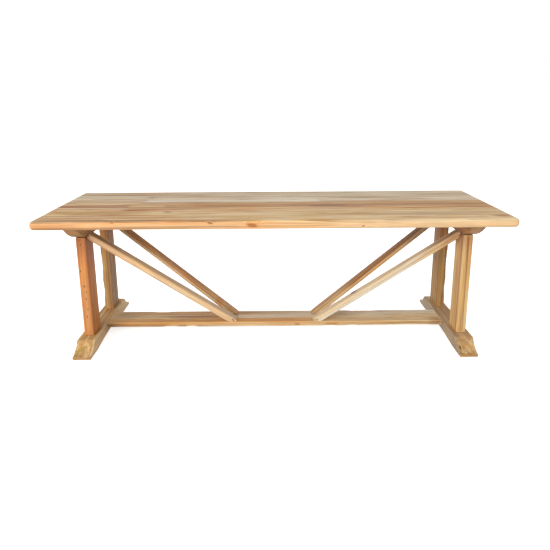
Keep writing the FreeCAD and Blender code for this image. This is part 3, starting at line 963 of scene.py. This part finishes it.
@dataclass
class Stock:
    """Planes a CAD piece into a finely divided mesh that can take wear."""

    node: str
    grain: Grain
    arris: float = 0.0012
    station: float = 0.016
    lane: float = 0.022
    wanes: tuple[Wane, ...] = ()
    margins: tuple[float, ...] = (0.004, 0.01)

    SHARP = math.radians(25)
    FLAT = math.radians(0.4)
    MERGE = 0.00002
    EASING = {"segments": 2, "profile": 0.5, "affect": "EDGES", "clamp_overlap": True}
    QUAD = 4

    # In radii of a nail hole: where the wood about it is cut, and how steep the hole's wall is.
    HOLE_CUTS = (-1.4, -0.8, 0.0, 0.8, 1.4)
    HOLE_SLOPE = 1.6

    def planes(self, mesh: bmesh.types.BMesh, direction: Vector, spacing: float) -> None:
        """Cut the mesh at even stations along a direction, and close to its ends.

        Args:
            mesh: The mesh.
            direction: The direction, with a length of 1.
            spacing: About how far apart the stations are.
        """
        reaches = [vertex.co.dot(direction) for vertex in mesh.verts]
        low, high = min(reaches), max(reaches)
        count = max(1, round((high - low) / spacing))
        places = {low + (high - low) * number / count for number in range(1, count)}
        places |= {side for margin in self.margins for side in (low + margin, high - margin)}
        for place in sorted(places):
            geometry = mesh.verts[:] + mesh.edges[:] + mesh.faces[:]
            self.cut(mesh, geometry, direction * place, direction)

    def cut(self, mesh: bmesh.types.BMesh, geometry: list, point: Vector, direction: Vector) -> None:
        """Cut some geometry of a mesh along a plane."""
        bmesh.ops.bisect_plane(mesh, geom=geometry, dist=self.MERGE, plane_co=point, plane_no=direction)

    def mesh(self, nails: Iterable[Nail] = ()) -> bpy.types.Mesh:
        """Make the piece's mesh, with its arrises eased, its faces divided and its nail holes sunk.

        Args:
            nails: The nail holes.

        Returns:
            The mesh, smooth all over.
        """
        work = bmesh.new()
        work.from_mesh(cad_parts[self.node].data)
        bmesh.ops.remove_doubles(work, verts=work.verts, dist=self.MERGE)
        bmesh.ops.dissolve_limit(work, angle_limit=self.FLAT, verts=work.verts, edges=work.edges)
        sharp = [edge for edge in work.edges if edge.calc_face_angle(0.0) > self.SHARP]
        bmesh.ops.bevel(work, geom=sharp, offset=self.arris, **self.EASING)
        turn = self.grain.matrix()
        for direction, spacing in zip(turn, (self.station, self.lane, self.lane)):
            self.planes(work, direction, spacing)
        for wane in self.wanes:
            self.sink(work, wane, turn[0])
        for nail in nails:
            self.pierce(work, nail, turn)
        bmesh.ops.triangulate(work, faces=[face for face in work.faces if len(face.verts) > self.QUAD])
        for face in work.faces:
            face.smooth = True
        made = bpy.data.meshes.new(self.node)
        work.to_mesh(made)
        work.free()
        return made

    def pierce(self, work: bmesh.types.BMesh, nail: Nail, turn: Matrix) -> None:
        """Divide the front face about a nail hole finely, and push the hole in.

        Args:
            work: The piece's mesh.
            nail: The nail hole.
            turn: The piece's directions along, across and through, as rows.
        """
        foot = self.grain.origin + turn[0] * nail.along + turn[2] * nail.through
        centre = Vector((foot.x, min(vertex.co.y for vertex in work.verts), foot.z))
        for direction in (turn[0], turn[2]):
            for share in self.HOLE_CUTS:
                near = [
                    face for face in work.faces if (face.calc_center_median() - centre).length < self.station
                ]
                around = {item for face in near for item in (*face.verts, *face.edges)}
                self.cut(work, [*around, *near], centre + direction * nail.radius * share, direction)
        for vertex in work.verts:
            share = 1 - (vertex.co - centre).length / (nail.radius * self.HOLE_CUTS[-1])
            if share > 0:
                vertex.co.y += nail.depth * min(1.0, self.HOLE_SLOPE * share)

    def sink(self, work: bmesh.types.BMesh, wane: Wane, along: Vector) -> None:
        """Push the vertices about a wane inwards, most in its middle.

        Args:
            work: The piece's mesh.
            wane: The wane.
            along: The piece's direction along its fibres.
        """
        for vertex in work.verts:
            offset = vertex.co - wane.centre
            run = offset.dot(along)
            side = (offset - along * run).length
            if abs(run) < wane.length / 2 and side < wane.reach:
                share = math.cos(math.pi * run / wane.length) ** 2 * (1 - side / wane.reach)
                vertex.co -= vertex.normal * wane.depth * share


@dataclass
class Workshop:
    """What every sub-assembly shares: the trees, the finishes, and how a piece is finished."""

    worn: WornTimberTree
    screws: CoachScrewTree
    zinc: bpy.types.Material
    shade_angle: float = math.radians(40)
    hollows: float = 0.0007
    cycles_along: float = 2.5
    cycles_across: float = 14.0

    def dress(self, piece: bpy.types.Object, slot: str, node: str) -> None:
        """Give a new piece its shading and its body, hide the CAD node that it replaces, and report it.

        Args:
            piece: The finished piece.
            slot: The slot of its material. Not used.
            node: The CAD node that it replaces.
        """
        piece.data.set_sharp_from_angle(angle=self.shade_angle)
        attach(piece, BODY)
        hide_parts(node)
        LOG.info("%s: %d faces", piece.name, len(piece.data.polygons))

    def timber(
        self, stock: Stock, finish: Timber, slot: str, wear: float = 0.004, reach: float = 0.006
    ) -> None:
        """Make one piece of timber from its CAD node.

        Args:
            stock: The node and how finely it is divided.
            finish: Its teak.
            slot: The slot of its material.
            wear: The most that its arrises lose.
            reach: How far from an arris the wear goes.
        """
        along = [abs(part) for part in stock.grain.matrix()[0]]
        values = {
            "Hollows": self.hollows,
            "Wear": wear,
            "Reach": reach,
            "Cycles": [self.cycles_along * part + self.cycles_across * (1 - part) for part in along],
            "Seed": finish.seed,
            "Material": TeakFinish(f"{stock.node}_teak", finish, stock.grain).build(),
        }
        piece = self.worn.apply(f"{stock.node}_wood", stock.mesh(finish.nails), values)
        self.dress(piece, slot, stock.node)


def dress_node(node: str, material: bpy.types.Material) -> None:
    """Give a CAD node that keeps its shape a better finish, and report it.

    Args:
        node: The node's name.
        material: The finish.
    """
    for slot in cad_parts[node].material_slots:
        slot.material = material
    LOG.info("%s: CAD shape, %s", node, material.name)


@dataclass
class TableTop:
    """The plank top: eight boards edge to edge, on hidden tongues."""

    shop: Workshop
    boards: tuple[Timber, ...]
    height: float = 0.77
    figure: float = 18.0
    wear: float = 0.0015
    reach: float = 0.004
    margins: tuple[float, ...] = (0.0015, 0.006)
    tongue_seed: float = 3.0
    tolerance: float = 0.001

    def build(self) -> None:
        """Make the boards and give the tongues their wood."""
        grain = Grain(Axis.X.vector, Axis.Y.vector, Vector((0.0, 0.0, self.height)))
        outer_side = CAD_BOX[1][1] - self.tolerance
        for number, timber in enumerate(self.boards, 1):
            node = f"top_board_{number}"
            low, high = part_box(node)
            seams = tuple(edge for edge in (low.y, high.y) if abs(edge) < outer_side)
            finish = replace(timber, seams=seams, figure=self.figure)
            stock = Stock(node, grain, margins=self.margins)
            self.shop.timber(stock, finish, "top_boards", self.wear, self.reach)
        tongue = TeakFinish("tongue_teak", Timber(seed=self.tongue_seed), grain).build()
        for number in range(1, len(self.boards)):
            dress_node(f"top_tongue_{number}", tongue)


@dataclass
class Stretcher:
    """The flat stretcher between the feet, of three lamellas."""

    shop: Workshop
    lamellas: dict[str, Timber]
    wane_reach: float = 0.02
    pith: tuple[float, float] = (0.01, -0.05)
    wear: float = 0.006
    reach: float = 0.01

    # Of each wane: the middle of its line (X, Y and Z), its length and its depth.
    WANES = {
        "front": (
            (0.8, -0.084, 0.046, 0.42, 0.008),
            (-0.62, -0.084, 0.046, 0.12, 0.006),
            (-0.5, -0.084, 0.046, 0.09, 0.007),
            (0.33, -0.084, 0.046, 0.1, 0.006),
            (0.46, -0.084, 0.046, 0.1, 0.005),
        ),
        "middle": (),
        "rear": ((0.545, 0.084, 0.077, 0.24, 0.008), (-0.7, 0.084, 0.077, 0.2, 0.005)),
    }

    def build(self) -> None:
        """Make the lamellas."""
        for place, timber in self.lamellas.items():
            node = f"stretcher_{place}_lamella"
            low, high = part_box(node)
            grain = Grain(Axis.X.vector, Axis.Y.vector, Vector((0.0, (low.y + high.y) / 2, high.z)))
            wanes = tuple(
                Wane(Vector(centre), length, self.wane_reach, depth)
                for *centre, length, depth in self.WANES[place]
            )
            finish = replace(timber, pith=self.pith)
            self.shop.timber(Stock(node, grain, wanes=wanes), finish, "stretcher", self.wear, self.reach)


@dataclass
class Trestle:
    """One end of the table: two posts on a foot, the bearer over them, two braces and the screws."""

    shop: Workshop
    side: str
    seed: float
    posts: dict[str, Timber]
    braces: dict[str, Timber]
    foot: Timber
    bearer: Timber
    wane_reach: float = 0.016
    brace_wear: float = 0.009
    brace_reach: float = 0.012
    base_wear: float = 0.0025
    base_lane: float = 0.018
    screw_radius: float = 0.004
    screw_length: float = 0.066
    thread_length: float = 0.03
    head_radius: float = 0.0075
    head_height: float = 0.0055
    screw_offset: float = 0.042

    # Of each wane on the rear post's outer arris: the height of its middle, its length and its depth.
    WANES = ((0.2, 0.14, 0.006), (0.36, 0.2, 0.007), (0.55, 0.16, 0.005))

    # What each part adds to the trestle's seed.
    SEEDS = {
        "front_post": 1.0,
        "rear_post": 11.0,
        "front_brace": 23.0,
        "rear_brace": 27.0,
        "foot": 29.0,
        "bearer": 33.0,
    }

    def seeded(self, timber: Timber, part: str) -> Timber:
        """A timber with the seed of its own part."""
        return replace(timber, seed=self.seed + self.SEEDS[part])

    def middle(self, node: str) -> Vector:
        """The middle of a CAD node's box."""
        low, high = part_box(node)
        return (low + high) / 2

    def build_posts(self) -> None:
        """Make the front and the rear post."""
        for place, timber in self.posts.items():
            part = f"{place}_post"
            node = f"{self.side}_{part}"
            grain = Grain(Axis.Z.vector, Axis.Y.vector, self.middle(node))
            low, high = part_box(node)
            outer = max(low.x, high.x, key=abs)
            wanes = tuple(
                Wane(Vector((outer, low.y, middle)), length, self.wane_reach, depth)
                for middle, length, depth in self.WANES
                if place == "rear"
            )
            self.shop.timber(Stock(node, grain, wanes=wanes), self.seeded(timber, part), "posts")

    def slope(self, node: str) -> Vector:
        """Find which way a sloping node runs.

        Args:
            node: The node's name.

        Returns:
            The direction of its longest edge, pointing up.
        """
        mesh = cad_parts[node].data
        ends = ([mesh.vertices[number].co for number in edge.vertices] for edge in mesh.edges)
        longest = max((end - start for start, end in ends), key=lambda run: run.length)
        return longest.normalized() * math.copysign(1.0, longest.z)

    def build_braces(self) -> None:
        """Make the front and the rear brace, with their fibres along the slope."""
        for place, timber in self.braces.items():
            part = f"{place}_brace"
            node = f"{self.side}_{part}"
            along = self.slope(node)
            across = Axis.Z.vector.cross(along).normalized()
            stock = Stock(node, Grain(along, across, self.middle(node)))
            finish = self.seeded(timber, part)
            self.shop.timber(stock, finish, "braces", self.brace_wear, self.brace_reach)

    def build_base(self) -> None:
        """Make the foot and the bearer."""
        for part, timber, slot in (("foot", self.foot, "feet"), ("bearer", self.bearer, "bearers")):
            node = f"{self.side}_{part}"
            grain = Grain(Axis.Y.vector, Axis.X.vector, self.middle(node))
            stock = Stock(node, grain, lane=self.base_lane)
            self.shop.timber(stock, self.seeded(timber, part), slot, self.base_wear)

    def build_screws(self) -> None:
        """Make the coach screws, each on the seat of its own hole."""
        node = f"{self.side}_coach_screws"
        low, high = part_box(node)
        seat = low.z + self.head_height
        centre = (low.x + high.x) / 2
        post_low, post_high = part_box(f"{self.side}_rear_post")
        inner, outer = post_low.y - self.screw_offset, post_high.y + self.screw_offset
        mesh = bpy.data.meshes.new(node)
        mesh.from_pydata([(centre, y, seat) for y in (-outer, -inner, inner, outer)], [], [])
        values = {
            "Shank Radius": self.screw_radius,
            "Shank Length": self.screw_length,
            "Head Radius": self.head_radius,
            "Head Height": self.head_height,
            "Thread Length": self.thread_length,
            "Material": self.shop.zinc,
        }
        self.shop.dress(self.shop.screws.apply(f"{node}_zinc", mesh, values), "screws", node)

    def build_pegs(self) -> None:
        """Give the pegs through the stretcher's tenon their wood."""
        node = f"{self.side}_stretcher_pegs"
        grain = Grain(Axis.Z.vector, Axis.Y.vector, self.middle(node))
        finish = TeakFinish(f"{self.side}_peg_teak", Timber(Tone.UMBER, seed=self.seed), grain)
        dress_node(node, finish.build())

    def build(self) -> None:
        """Make the whole trestle."""
        self.build_posts()
        self.build_braces()
        self.build_base()
        self.build_screws()
        self.build_pegs()


@dataclass
class Studio:
    """A white room with soft light, and a camera in front of the table, a little above its top."""

    station: tuple[float, float, float] = (-0.0173, -3.5805, 1.3722)
    pitch: float = math.radians(16.121)
    yaw: float = math.radians(0.307)
    roll: float = math.radians(-0.342)
    focal_pixels: float = 617.7
    render_pixels: float = 550.0
    sensor: float = 36.0
    room_light: float = 0.7
    floor_size: float = 40.0
    floor_glow: float = 0.78
    floor_tone: tuple[float, float, float, float] = (0.86, 0.86, 0.85, 1.0)
    lamp_place: tuple[float, float, float] = (-4.6, -8.0, 3.2)
    lamp_aim: tuple[float, float, float] = (0.0, 0.0, 0.4)
    lamp_size: float = 4.5
    lamp_power: float = 560.0

    def camera(self) -> None:
        """Set up the camera."""
        data = bpy.data.cameras.new("camera")
        data.sensor_width = self.sensor
        data.lens = self.focal_pixels / self.render_pixels * self.sensor
        camera = new_object("camera", data)
        turn = Matrix.Rotation(-self.yaw, 4, "Z") @ Matrix.Rotation(math.pi / 2 - self.pitch, 4, "X")
        camera.matrix_world = Matrix.Translation(self.station) @ turn @ Matrix.Rotation(self.roll, 4, "Z")
        bpy.context.scene.camera = camera

    def seen(self, bench: ShaderBench) -> Socket:
        """Tell the rays that look from those that light.

        Args:
            bench: The bench of the tree that asks.

        Returns:
            1 for a ray that looks straight, by reflection or through glass, and 0 for one that lights.
        """
        rays = bench.add("ShaderNodeLightPath").outputs
        mirror = bench.math("MAXIMUM", rays["Is Glossy Ray"], rays["Is Transmission Ray"])
        return bench.math("MAXIMUM", rays["Is Camera Ray"], mirror)

    def room(self) -> None:
        """Make the world: white where it is seen, softer where it lights."""
        world = bpy.data.worlds.new("white_room")
        bpy.context.scene.world = world
        world.use_nodes = True
        bench = ShaderBench(world.node_tree)
        strength = bench.smooth(self.seen(bench), 0.0, 1.0, self.room_light, 1.0)
        inputs = {"Color": (1.0, 1.0, 1.0, 1.0), "Strength": strength}
        background = bench.add("ShaderNodeBackground", inputs)
        bench.add("ShaderNodeOutputWorld", {"Surface": background.outputs[0]})

    def floor(self) -> None:
        """Make the pale floor. It is white where it is seen, apart from the table's shadow."""
        half = self.floor_size / 2
        corners = [(-half, -half, 0), (half, -half, 0), (half, half, 0), (-half, half, 0)]
        mesh = bpy.data.meshes.new("floor")
        mesh.from_pydata(corners, [], [(0, 1, 2, 3)])
        floor = new_object("floor", mesh)
        material, bench = new_material("pale_floor")
        matt = bench.add("ShaderNodeBsdfDiffuse", {"Color": self.floor_tone})
        shine = bench.add("ShaderNodeEmission", {"Strength": bench.times(self.seen(bench), self.floor_glow)})
        both = bench.add("ShaderNodeAddShader", {0: matt.outputs[0], 1: shine.outputs[0]})
        bench.add("ShaderNodeOutputMaterial", {"Surface": both.outputs[0]})
        mesh.materials.append(material)
        floor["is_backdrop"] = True

    def lamp(self) -> None:
        """Hang one soft lamp in front of the table, to the left, and point it at the table."""
        data = bpy.data.lights.new("front_lamp", "AREA")
        data.shape = "DISK"
        data.size = self.lamp_size
        data.energy = self.lamp_power
        lamp = new_object("front_lamp", data)
        lamp.location = self.lamp_place
        aim = Vector(self.lamp_aim) - Vector(self.lamp_place)
        lamp.rotation_euler = aim.to_track_quat("-Z", "Y").to_euler()

    def build(self) -> None:
        """Set up the camera, the room and the lamp."""
        bpy.context.scene.view_settings.view_transform = "Standard"
        self.camera()
        self.room()
        self.floor()
        self.lamp()


def top_timbers() -> tuple[Timber, ...]:
    """Choose the timber of the top.

    Returns:
        The timber of each board, from the front to the rear.
    """
    honey = Timber(Tone.HONEY, Tone.CREAM, Tone.RUST)
    grey = Timber(Tone.SAND, Tone.SAPWOOD, Tone.FAWN, line=Tone.UMBER)
    return (
        replace(
            honey,
            pales=0.2,
            pith=(-0.42, -0.1),
            seed=11.0,
            streaks=(
                Streak(Tone.CHALK, -1.2, -0.867, -0.378, 0.022),
                Streak(Tone.ORANGE, -1.22, -0.5, -0.42, 0.022),
                Streak(Tone.UMBER, -1.2, -0.583, -0.474, 0.034),
                Streak(Tone.SIENNA, 1.15, 1.24, -0.408, 0.06),
                Streak(Tone.CREAM, 0.3, 1.3, -0.485, 0.05, 0.6, 0.1),
                Streak(Tone.APRICOT, -1.3, 1.3, -0.029, 0.044, 0.6, edge=True),
                Streak(Tone.UMBER, -1.3, -0.85, -0.0065, 0.01, 0.7, 0.1, edge=True),
                Streak(Tone.CREAM, 0.5, 1.3, -0.008, 0.014, 0.7, 0.15, edge=True),
                Streak(Tone.PEACH, -1.3, 0.1, -0.03, 0.05, 0.8, 0.2, edge=True),
                Streak(Tone.COPPER, -1.3, -1.0, -0.034, 0.05, 0.5, 0.15, edge=True),
            ),
            knots=(
                Knot(-0.325, -0.012, 0.007, edge=True, halo=Tone.ORANGE, heart=Tone.CHESTNUT),
                Knot(-0.115, -0.024, 0.014, edge=True, halo=Tone.ORANGE, heart=Tone.SIENNA),
                Knot(-0.82, -0.006, 0.006, 0.6, edge=True, halo=Tone.ORANGE, heart=Tone.CHESTNUT),
                Knot(0.443, -0.033, 0.003, edge=True),
            ),
        ),
        replace(
            honey,
            pith=(-0.3, -0.08),
            seed=23.0,
            streaks=(
                Streak(Tone.FAWN, -0.183, -0.05, -0.25, 0.05, 0.45, 0.06),
                Streak(Tone.CREAM, 0.6, 0.967, -0.25, 0.028),
                Streak(Tone.CREAM, -0.5, 0.15, -0.345, 0.03, 0.6),
                Streak(Tone.MOSS, -1.2, -0.7, -0.26, 0.05, 0.7),
            ),
            knots=(Knot(-0.583, -0.245, 0.013),),
        ),
        Timber(
            Tone.ORANGE,
            Tone.CREAM,
            Tone.SIENNA,
            pith=(-0.15, -0.1),
            seed=37.0,
            streaks=(
                Streak(Tone.CREAM, -1.217, -0.833, -0.183, 0.03),
                Streak(Tone.CREAM, 0.083, 0.467, -0.215, 0.024),
                Streak(Tone.RUST, -0.833, -0.417, -0.15, 0.034),
                Streak(Tone.SAPWOOD, -1.217, -0.833, -0.117, 0.024),
                Streak(Tone.STRAW, 0.1, 1.22, -0.205, 0.05, 0.6),
                Streak(Tone.WALNUT, 0.765, 0.8, -0.184, 0.006, soft=0.01),
            ),
        ),
        Timber(
            Tone.RUST,
            Tone.WHEAT,
            Tone.CHESTNUT,
            pith=(-0.05, -0.07),
            seed=41.0,
            streaks=(
                Streak(Tone.SIENNA, -1.25, -0.85, -0.06, 0.06, 0.6),
                Streak(Tone.HONEY, -0.833, -0.633, -0.06, 0.1, soft=0.008),
                Streak(Tone.CHESTNUT, 0.192, 0.4, -0.058, 0.05),
                Streak(Tone.UMBER, 0.45, 0.95, -0.04, 0.03, 0.5),
            ),
        ),
        Timber(
            Tone.TAN,
            Tone.CREAM,
            Tone.SIENNA,
            pith=(0.05, -0.09),
            seed=53.0,
            streaks=(
                Streak(Tone.ORANGE, 0.4, 1.25, 0.05, 0.07, 0.6),
                Streak(Tone.RUST, -0.9, 0.35, 0.02, 0.04, 0.6),
                Streak(Tone.UMBER, -1.25, -1.15, 0.08, 0.06),
            ),
        ),
        Timber(
            Tone.BISCUIT,
            Tone.CHALK,
            Tone.UMBER,
            line=Tone.UMBER,
            pith=(0.16, -0.1),
            seed=67.0,
            streaks=(
                Streak(Tone.CHALK, -0.767, 0.27, 0.125, 0.1, 0.9, soft=0.008),
                Streak(Tone.CREAM, -1.217, -0.8, 0.238, 0.028),
                Streak(Tone.CREAM, -0.7, -0.317, 0.238, 0.028),
                Streak(Tone.TAN, -1.23, -0.8, 0.12, 0.06),
                Streak(Tone.CREAM, -1.23, -1.05, 0.165, 0.03),
            ),
        ),
        replace(grey, pith=(0.31, -0.08), seed=71.0, knots=(Knot(-0.767, 0.275, 0.01),)),
        replace(
            grey,
            pith=(0.44, -0.1),
            seed=83.0,
            streaks=(Streak(Tone.TAN, -1.25, -0.6, 0.43, 0.12, 0.6, 0.3),),
        ),
    )


def stretcher_timbers() -> dict[str, Timber]:
    """Choose the timber of the stretcher.

    Returns:
        The timber of each lamella.
    """
    front = Timber(
        Tone.HONEY,
        Tone.CREAM,
        Tone.WHEAT,
        seed=101.0,
        streaks=(
            Streak(Tone.ORANGE, -1.0, -0.25, 0.0, 0.2, 0.45, 0.2),
            Streak(Tone.STRAW, 0.1, 1.1, 0.0, 0.3, 0.8, 0.1),
            Streak(Tone.CREAM, 0.15, 0.6, 0.0, 0.3, 0.6, 0.1),
            Streak(Tone.ORANGE, 0.31, 0.38, 0.0, 0.3, 0.3, 0.02),
            Streak(Tone.SIENNA, 0.94, 1.0, 0.0, 0.3, 0.45, 0.02),
            Streak(Tone.CHALK, -1.0, 1.0, -0.028, 0.008, 0.6, edge=True),
        ),
        shades=(
            Streak(Tone.PEACH, -0.32, 0.25, 0.0, 0.014, 0.5, 0.1, edge=True),
            Streak(Tone.ORANGE, -0.3, 0.22, 0.0, 0.012, 0.45, 0.1, edge=True),
            Streak(Tone.CREAM, 0.27, 0.95, 0.0, 0.014, 0.5, 0.06, edge=True),
            Streak(Tone.TAN, -0.05, 0.5, -0.019, 0.02, 0.45, 0.15, edge=True),
            Streak(Tone.ORANGE, 0.15, 0.72, -0.006, 0.009, 0.5, 0.1, edge=True),
            Streak(Tone.RUST, 0.31, 0.38, -0.02, 0.02, 0.6, 0.02, edge=True),
        ),
        knots=(Knot(0.14, -0.018, 0.006, 0.7, edge=True, halo=Tone.RUST, heart=Tone.SIENNA),),
    )
    middle = Timber(
        Tone.BISCUIT,
        Tone.CHALK,
        Tone.FAWN,
        seed=113.0,
        streaks=(
            Streak(Tone.TAN, -0.5, -0.25, 0.0, 0.1, 0.5, 0.1),
            Streak(Tone.CREAM, 0.2, 1.1, 0.0, 0.12, 0.95, 0.2),
            Streak(Tone.CREAM, -1.05, -0.62, 0.0, 0.12, 0.8, 0.1),
        ),
        shades=(Streak(Tone.CHALK, -0.27, 0.7, 0.0, 0.12, 0.45, 0.06),),
    )
    rear = Timber(
        Tone.BISCUIT,
        Tone.SAPWOOD,
        Tone.FAWN,
        lines=0.35,
        seed=127.0,
        streaks=(
            Streak(Tone.TAN, -1.0, -0.05, 0.0, 0.2, 0.8, 0.2),
            Streak(Tone.CHALK, 0.1, 1.1, 0.0, 0.2, 1.0, 0.1),
        ),
    )
    return {"front": front, "middle": middle, "rear": rear}


def post_timbers() -> tuple[Timber, Timber, Timber]:
    """Choose the timber of the posts.

    Returns:
        The timbers of the left front post, of the right front post and of both rear posts, whose darker tones
        stand partly for their wood and partly for painted shade under the top.
    """
    nails = (
        Nail(0.271, 0.007),
        Nail(0.243, 0.0),
        Nail(0.093, 0.016),
        Nail(0.006, 0.003),
        Nail(-0.027, -0.006),
        Nail(-0.067, -0.002),
        Nail(-0.128, -0.006),
        Nail(-0.172, 0.001),
    )
    copper = Timber(
        Tone.COPPER,
        Tone.AMBER,
        Tone.COPPER,
        line=Tone.SIENNA,
        lines=0.35,
        pales=0.1,
        weathering=0.1,
        rubbed=Tone.ORANGE,
        ring_strength=0.2,
        # Painted shade: the top of the post, under the bearer, is painted darker.
        streaks=(Streak(Tone.SIENNA, 0.17, 0.35, 0.0, 0.4, 0.75, 0.09),),
        nails=nails,
    )
    striped = Timber(
        Tone.HONEY,
        Tone.STRAW,
        Tone.WHEAT,
        lines=0.6,
        streaks=(
            Streak(Tone.RUST, -0.3, 0.3, 0.002, 0.012, 0.55, edge=True),
            # Painted shade: the top of the post, under the bearer, is painted darker.
            Streak(Tone.SIENNA, 0.2, 0.35, 0.0, 0.4, 0.5, 0.06),
        ),
    )
    # Partly wood and partly painted shade: the rear posts take darker tones for the shade of the top over
    # them.
    rear_painted_shade = Timber(
        Tone.DRAB,
        Tone.WHEAT,
        Tone.CHESTNUT,
        lines=0.75,
        pales=0.15,
        weathered=Tone.UMBER,
        rub=0.2,
        streaks=(
            Streak(Tone.UMBER, -0.3, 0.3, -0.018, 0.02, 0.6, edge=True),
            # Painted shade: the top of the post, under the bearer, is painted darker.
            Streak(Tone.SIENNA, 0.16, 0.35, 0.0, 0.4, 0.6, 0.09),
        ),
        knots=(
            Knot(0.03, 0.02, 0.012, 0.6, halo=Tone.UMBER, heart=Tone.CHESTNUT),
            Knot(-0.17, -0.05, 0.009, 0.5),
        ),
    )
    return copper, striped, rear_painted_shade


def front_brace_timbers() -> tuple[Timber, Timber]:
    """Choose the timber of the front braces.

    Returns:
        The timbers of the left and of the right one.
    """
    pale = Timber(
        Tone.APRICOT,
        Tone.CREAM,
        Tone.HONEY,
        lines=0.35,
        # Painted light: the faces that look up are painted paler.
        upper=Tone.CHALK,
        painted_top_shading_share=0.6,
        rubbed=Tone.APRICOT,
        streaks=(
            Streak(Tone.RUST, -0.2, 0.5, -0.017, 0.01, 0.6, 0.2, edge=True),
            Streak(Tone.RUST, 0.3, 0.5, 0.0, 0.1, 0.5, 0.1),
        ),
        # Painted shade: the top face at the head, under the bearer and the top, is painted dark.
        shades=(Streak(Tone.CHESTNUT, 0.32, 0.6, 0.0185, 0.009, 0.6, 0.12, edge=True),),
    )
    chalky = replace(
        pale,
        ground=Tone.CREAM,
        light=Tone.CHALK,
        dark=Tone.CREAM,
        lines=0.3,
        rub=0.5,
        # Painted light: the faces that look up are painted paler.
        upper=Tone.SAPWOOD,
        rubbed=Tone.CHALK,
        streaks=(
            Streak(Tone.CHALK, -0.5, 0.2, -0.015, 0.04, 0.8, 0.1, edge=True),
            Streak(Tone.TAN, 0.25, 0.6, 0.0, 0.1, 0.5, 0.15),
            Streak(Tone.RUST, 0.38, 0.6, 0.0, 0.1, 0.5, 0.05),
            Streak(Tone.CHALK, -0.35, -0.27, 0.02, 0.02, 0.9, 0.01),
            Streak(Tone.CHALK, -0.25, -0.22, 0.02, 0.02, 0.9, 0.005),
        ),
        knots=(
            Knot(-0.193, 0.013, 0.012, 1.0, halo=Tone.CHESTNUT, heart=Tone.SOOT),
            Knot(0.101, -0.03, 0.004, edge=True),
            Knot(0.211, -0.03, 0.005, edge=True),
            Knot(0.478, -0.01, 0.005, edge=True),
        ),
    )
    return pale, chalky


def rear_brace_timbers() -> tuple[Timber, Timber]:
    """Choose the timber of the rear braces.

    Returns:
        The timbers of the left and of the right one.
    """
    band = Streak(Tone.SIENNA, -1.0, 1.0, 0.017, 0.018, 0.7, edge=True)
    foot_end = Streak(Tone.CREAM, -0.55, -0.24, 0.0, 0.2, 0.6, 0.1)
    toe_end = Streak(Tone.ORANGE, -0.4, -0.355, 0.0, 0.2, 0.7, 0.01)
    # Painted shade: the upper end, under the bearer and the top, is painted darker.
    painted_head_shade = Streak(Tone.CHESTNUT, 0.22, 0.6, 0.0, 0.2, 0.6, 0.12)
    dim = Timber(
        Tone.HONEY,
        Tone.APRICOT,
        Tone.ORANGE,
        lines=0.5,
        rubbed=Tone.APRICOT,
        # Painted light and shade on the faces that look up.
        upper=Tone.ORANGE,
        painted_top_shading_share=0.4,
        streaks=(replace(band, strength=0.5), foot_end, toe_end, painted_head_shade),
    )
    brown = replace(
        dim,
        # Painted light and shade on the faces that look up.
        upper=Tone.RUST,
        rubbed=Tone.TAN,
        streaks=(replace(band, tone=Tone.CHESTNUT), foot_end, replace(painted_head_shade, tone=Tone.WALNUT)),
    )
    return dim, brown


def foot_timbers() -> tuple[Timber, Timber]:
    """Choose the timber of the feet.

    Returns:
        The timbers of the left foot, pale on its inner side, and of the right foot, which is greyer.
    """
    common = (
        Streak(Tone.UMBER, -0.15, 0.15, 0.0, 0.3, 0.35),
        Streak(Tone.CHESTNUT, -0.48, -0.468, 0.0, 0.3, 0.6, 0.004),
        Streak(Tone.CHESTNUT, 0.468, 0.48, 0.0, 0.3, 0.6, 0.004),
    )
    toe = Timber(
        Tone.WHEAT,
        Tone.STRAW,
        Tone.MOSS,
        figure=16.0,
        lines=0.35,
        rubbed=Tone.CREAM,
        rub=0.3,
        ring_strength=0.06,
        pith=(0.0, -0.3),
    )
    left = replace(toe, streaks=(Streak(Tone.CREAM, -0.5, 0.5, 0.051, 0.024, 0.7), *common))
    right = replace(
        toe,
        knots=(Knot(-0.42, -0.034, 0.006, 1.0, heart=Tone.SOOT),),
        streaks=(
            Streak(Tone.ASH, -0.39, 0.39, 0.0, 0.3, 0.4, 0.02),
            Streak(Tone.ASH, -0.5, 0.5, -0.051, 0.024, 0.9),
            *common,
        ),
    )
    return left, right


def bearer_timber() -> Timber:
    """Choose the timber of the bearers.

    Returns:
        The timber of both.
    """
    return Timber(
        Tone.DRAB,
        Tone.RUST,
        Tone.CHESTNUT,
        lines=0.7,
        pales=0.1,
        ring_strength=0.15,
        weathered=Tone.SIENNA,
        weathering=0.6,
        rubbed=Tone.UMBER,
        streaks=(Streak(Tone.CHESTNUT, -0.5, 0.5, 0.037, 0.03, 0.8, edge=True),),
    )


def trestles(shop: Workshop) -> Iterable[Trestle]:
    """Lay out the two trestles, each with the timber chosen for it.

    Args:
        shop: The workshop.

    Yields:
        The left and the right trestle.
    """
    *front_posts, rear_post = post_timbers()
    timbers = zip(front_posts, front_brace_timbers(), rear_brace_timbers(), foot_timbers())
    for side, seed, (post, front, rear, foot) in zip(("left", "right"), (200.0, 300.0), timbers):
        posts = {"front": post, "rear": rear_post}
        braces = {"front": front, "rear": rear}
        yield Trestle(shop, side, seed, posts, braces, foot, bearer_timber())


def main() -> None:
    """Build the studio and the table."""
    logging.basicConfig(level=logging.INFO, format="%(name)s: %(message)s")
    Studio().build()
    shop = Workshop(WornTimberTree(), CoachScrewTree(), ZincPlate().build("zinc_plate"))
    TableTop(shop, top_timbers()).build()
    Stretcher(shop, stretcher_timbers()).build()
    for trestle in trestles(shop):
        trestle.build()
    measured = (("cad", CAD_BOX), ("visual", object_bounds()))
    boxes = {name: [list(corner) for corner in box] for name, box in measured}


if __name__ == "__main__":
    main()
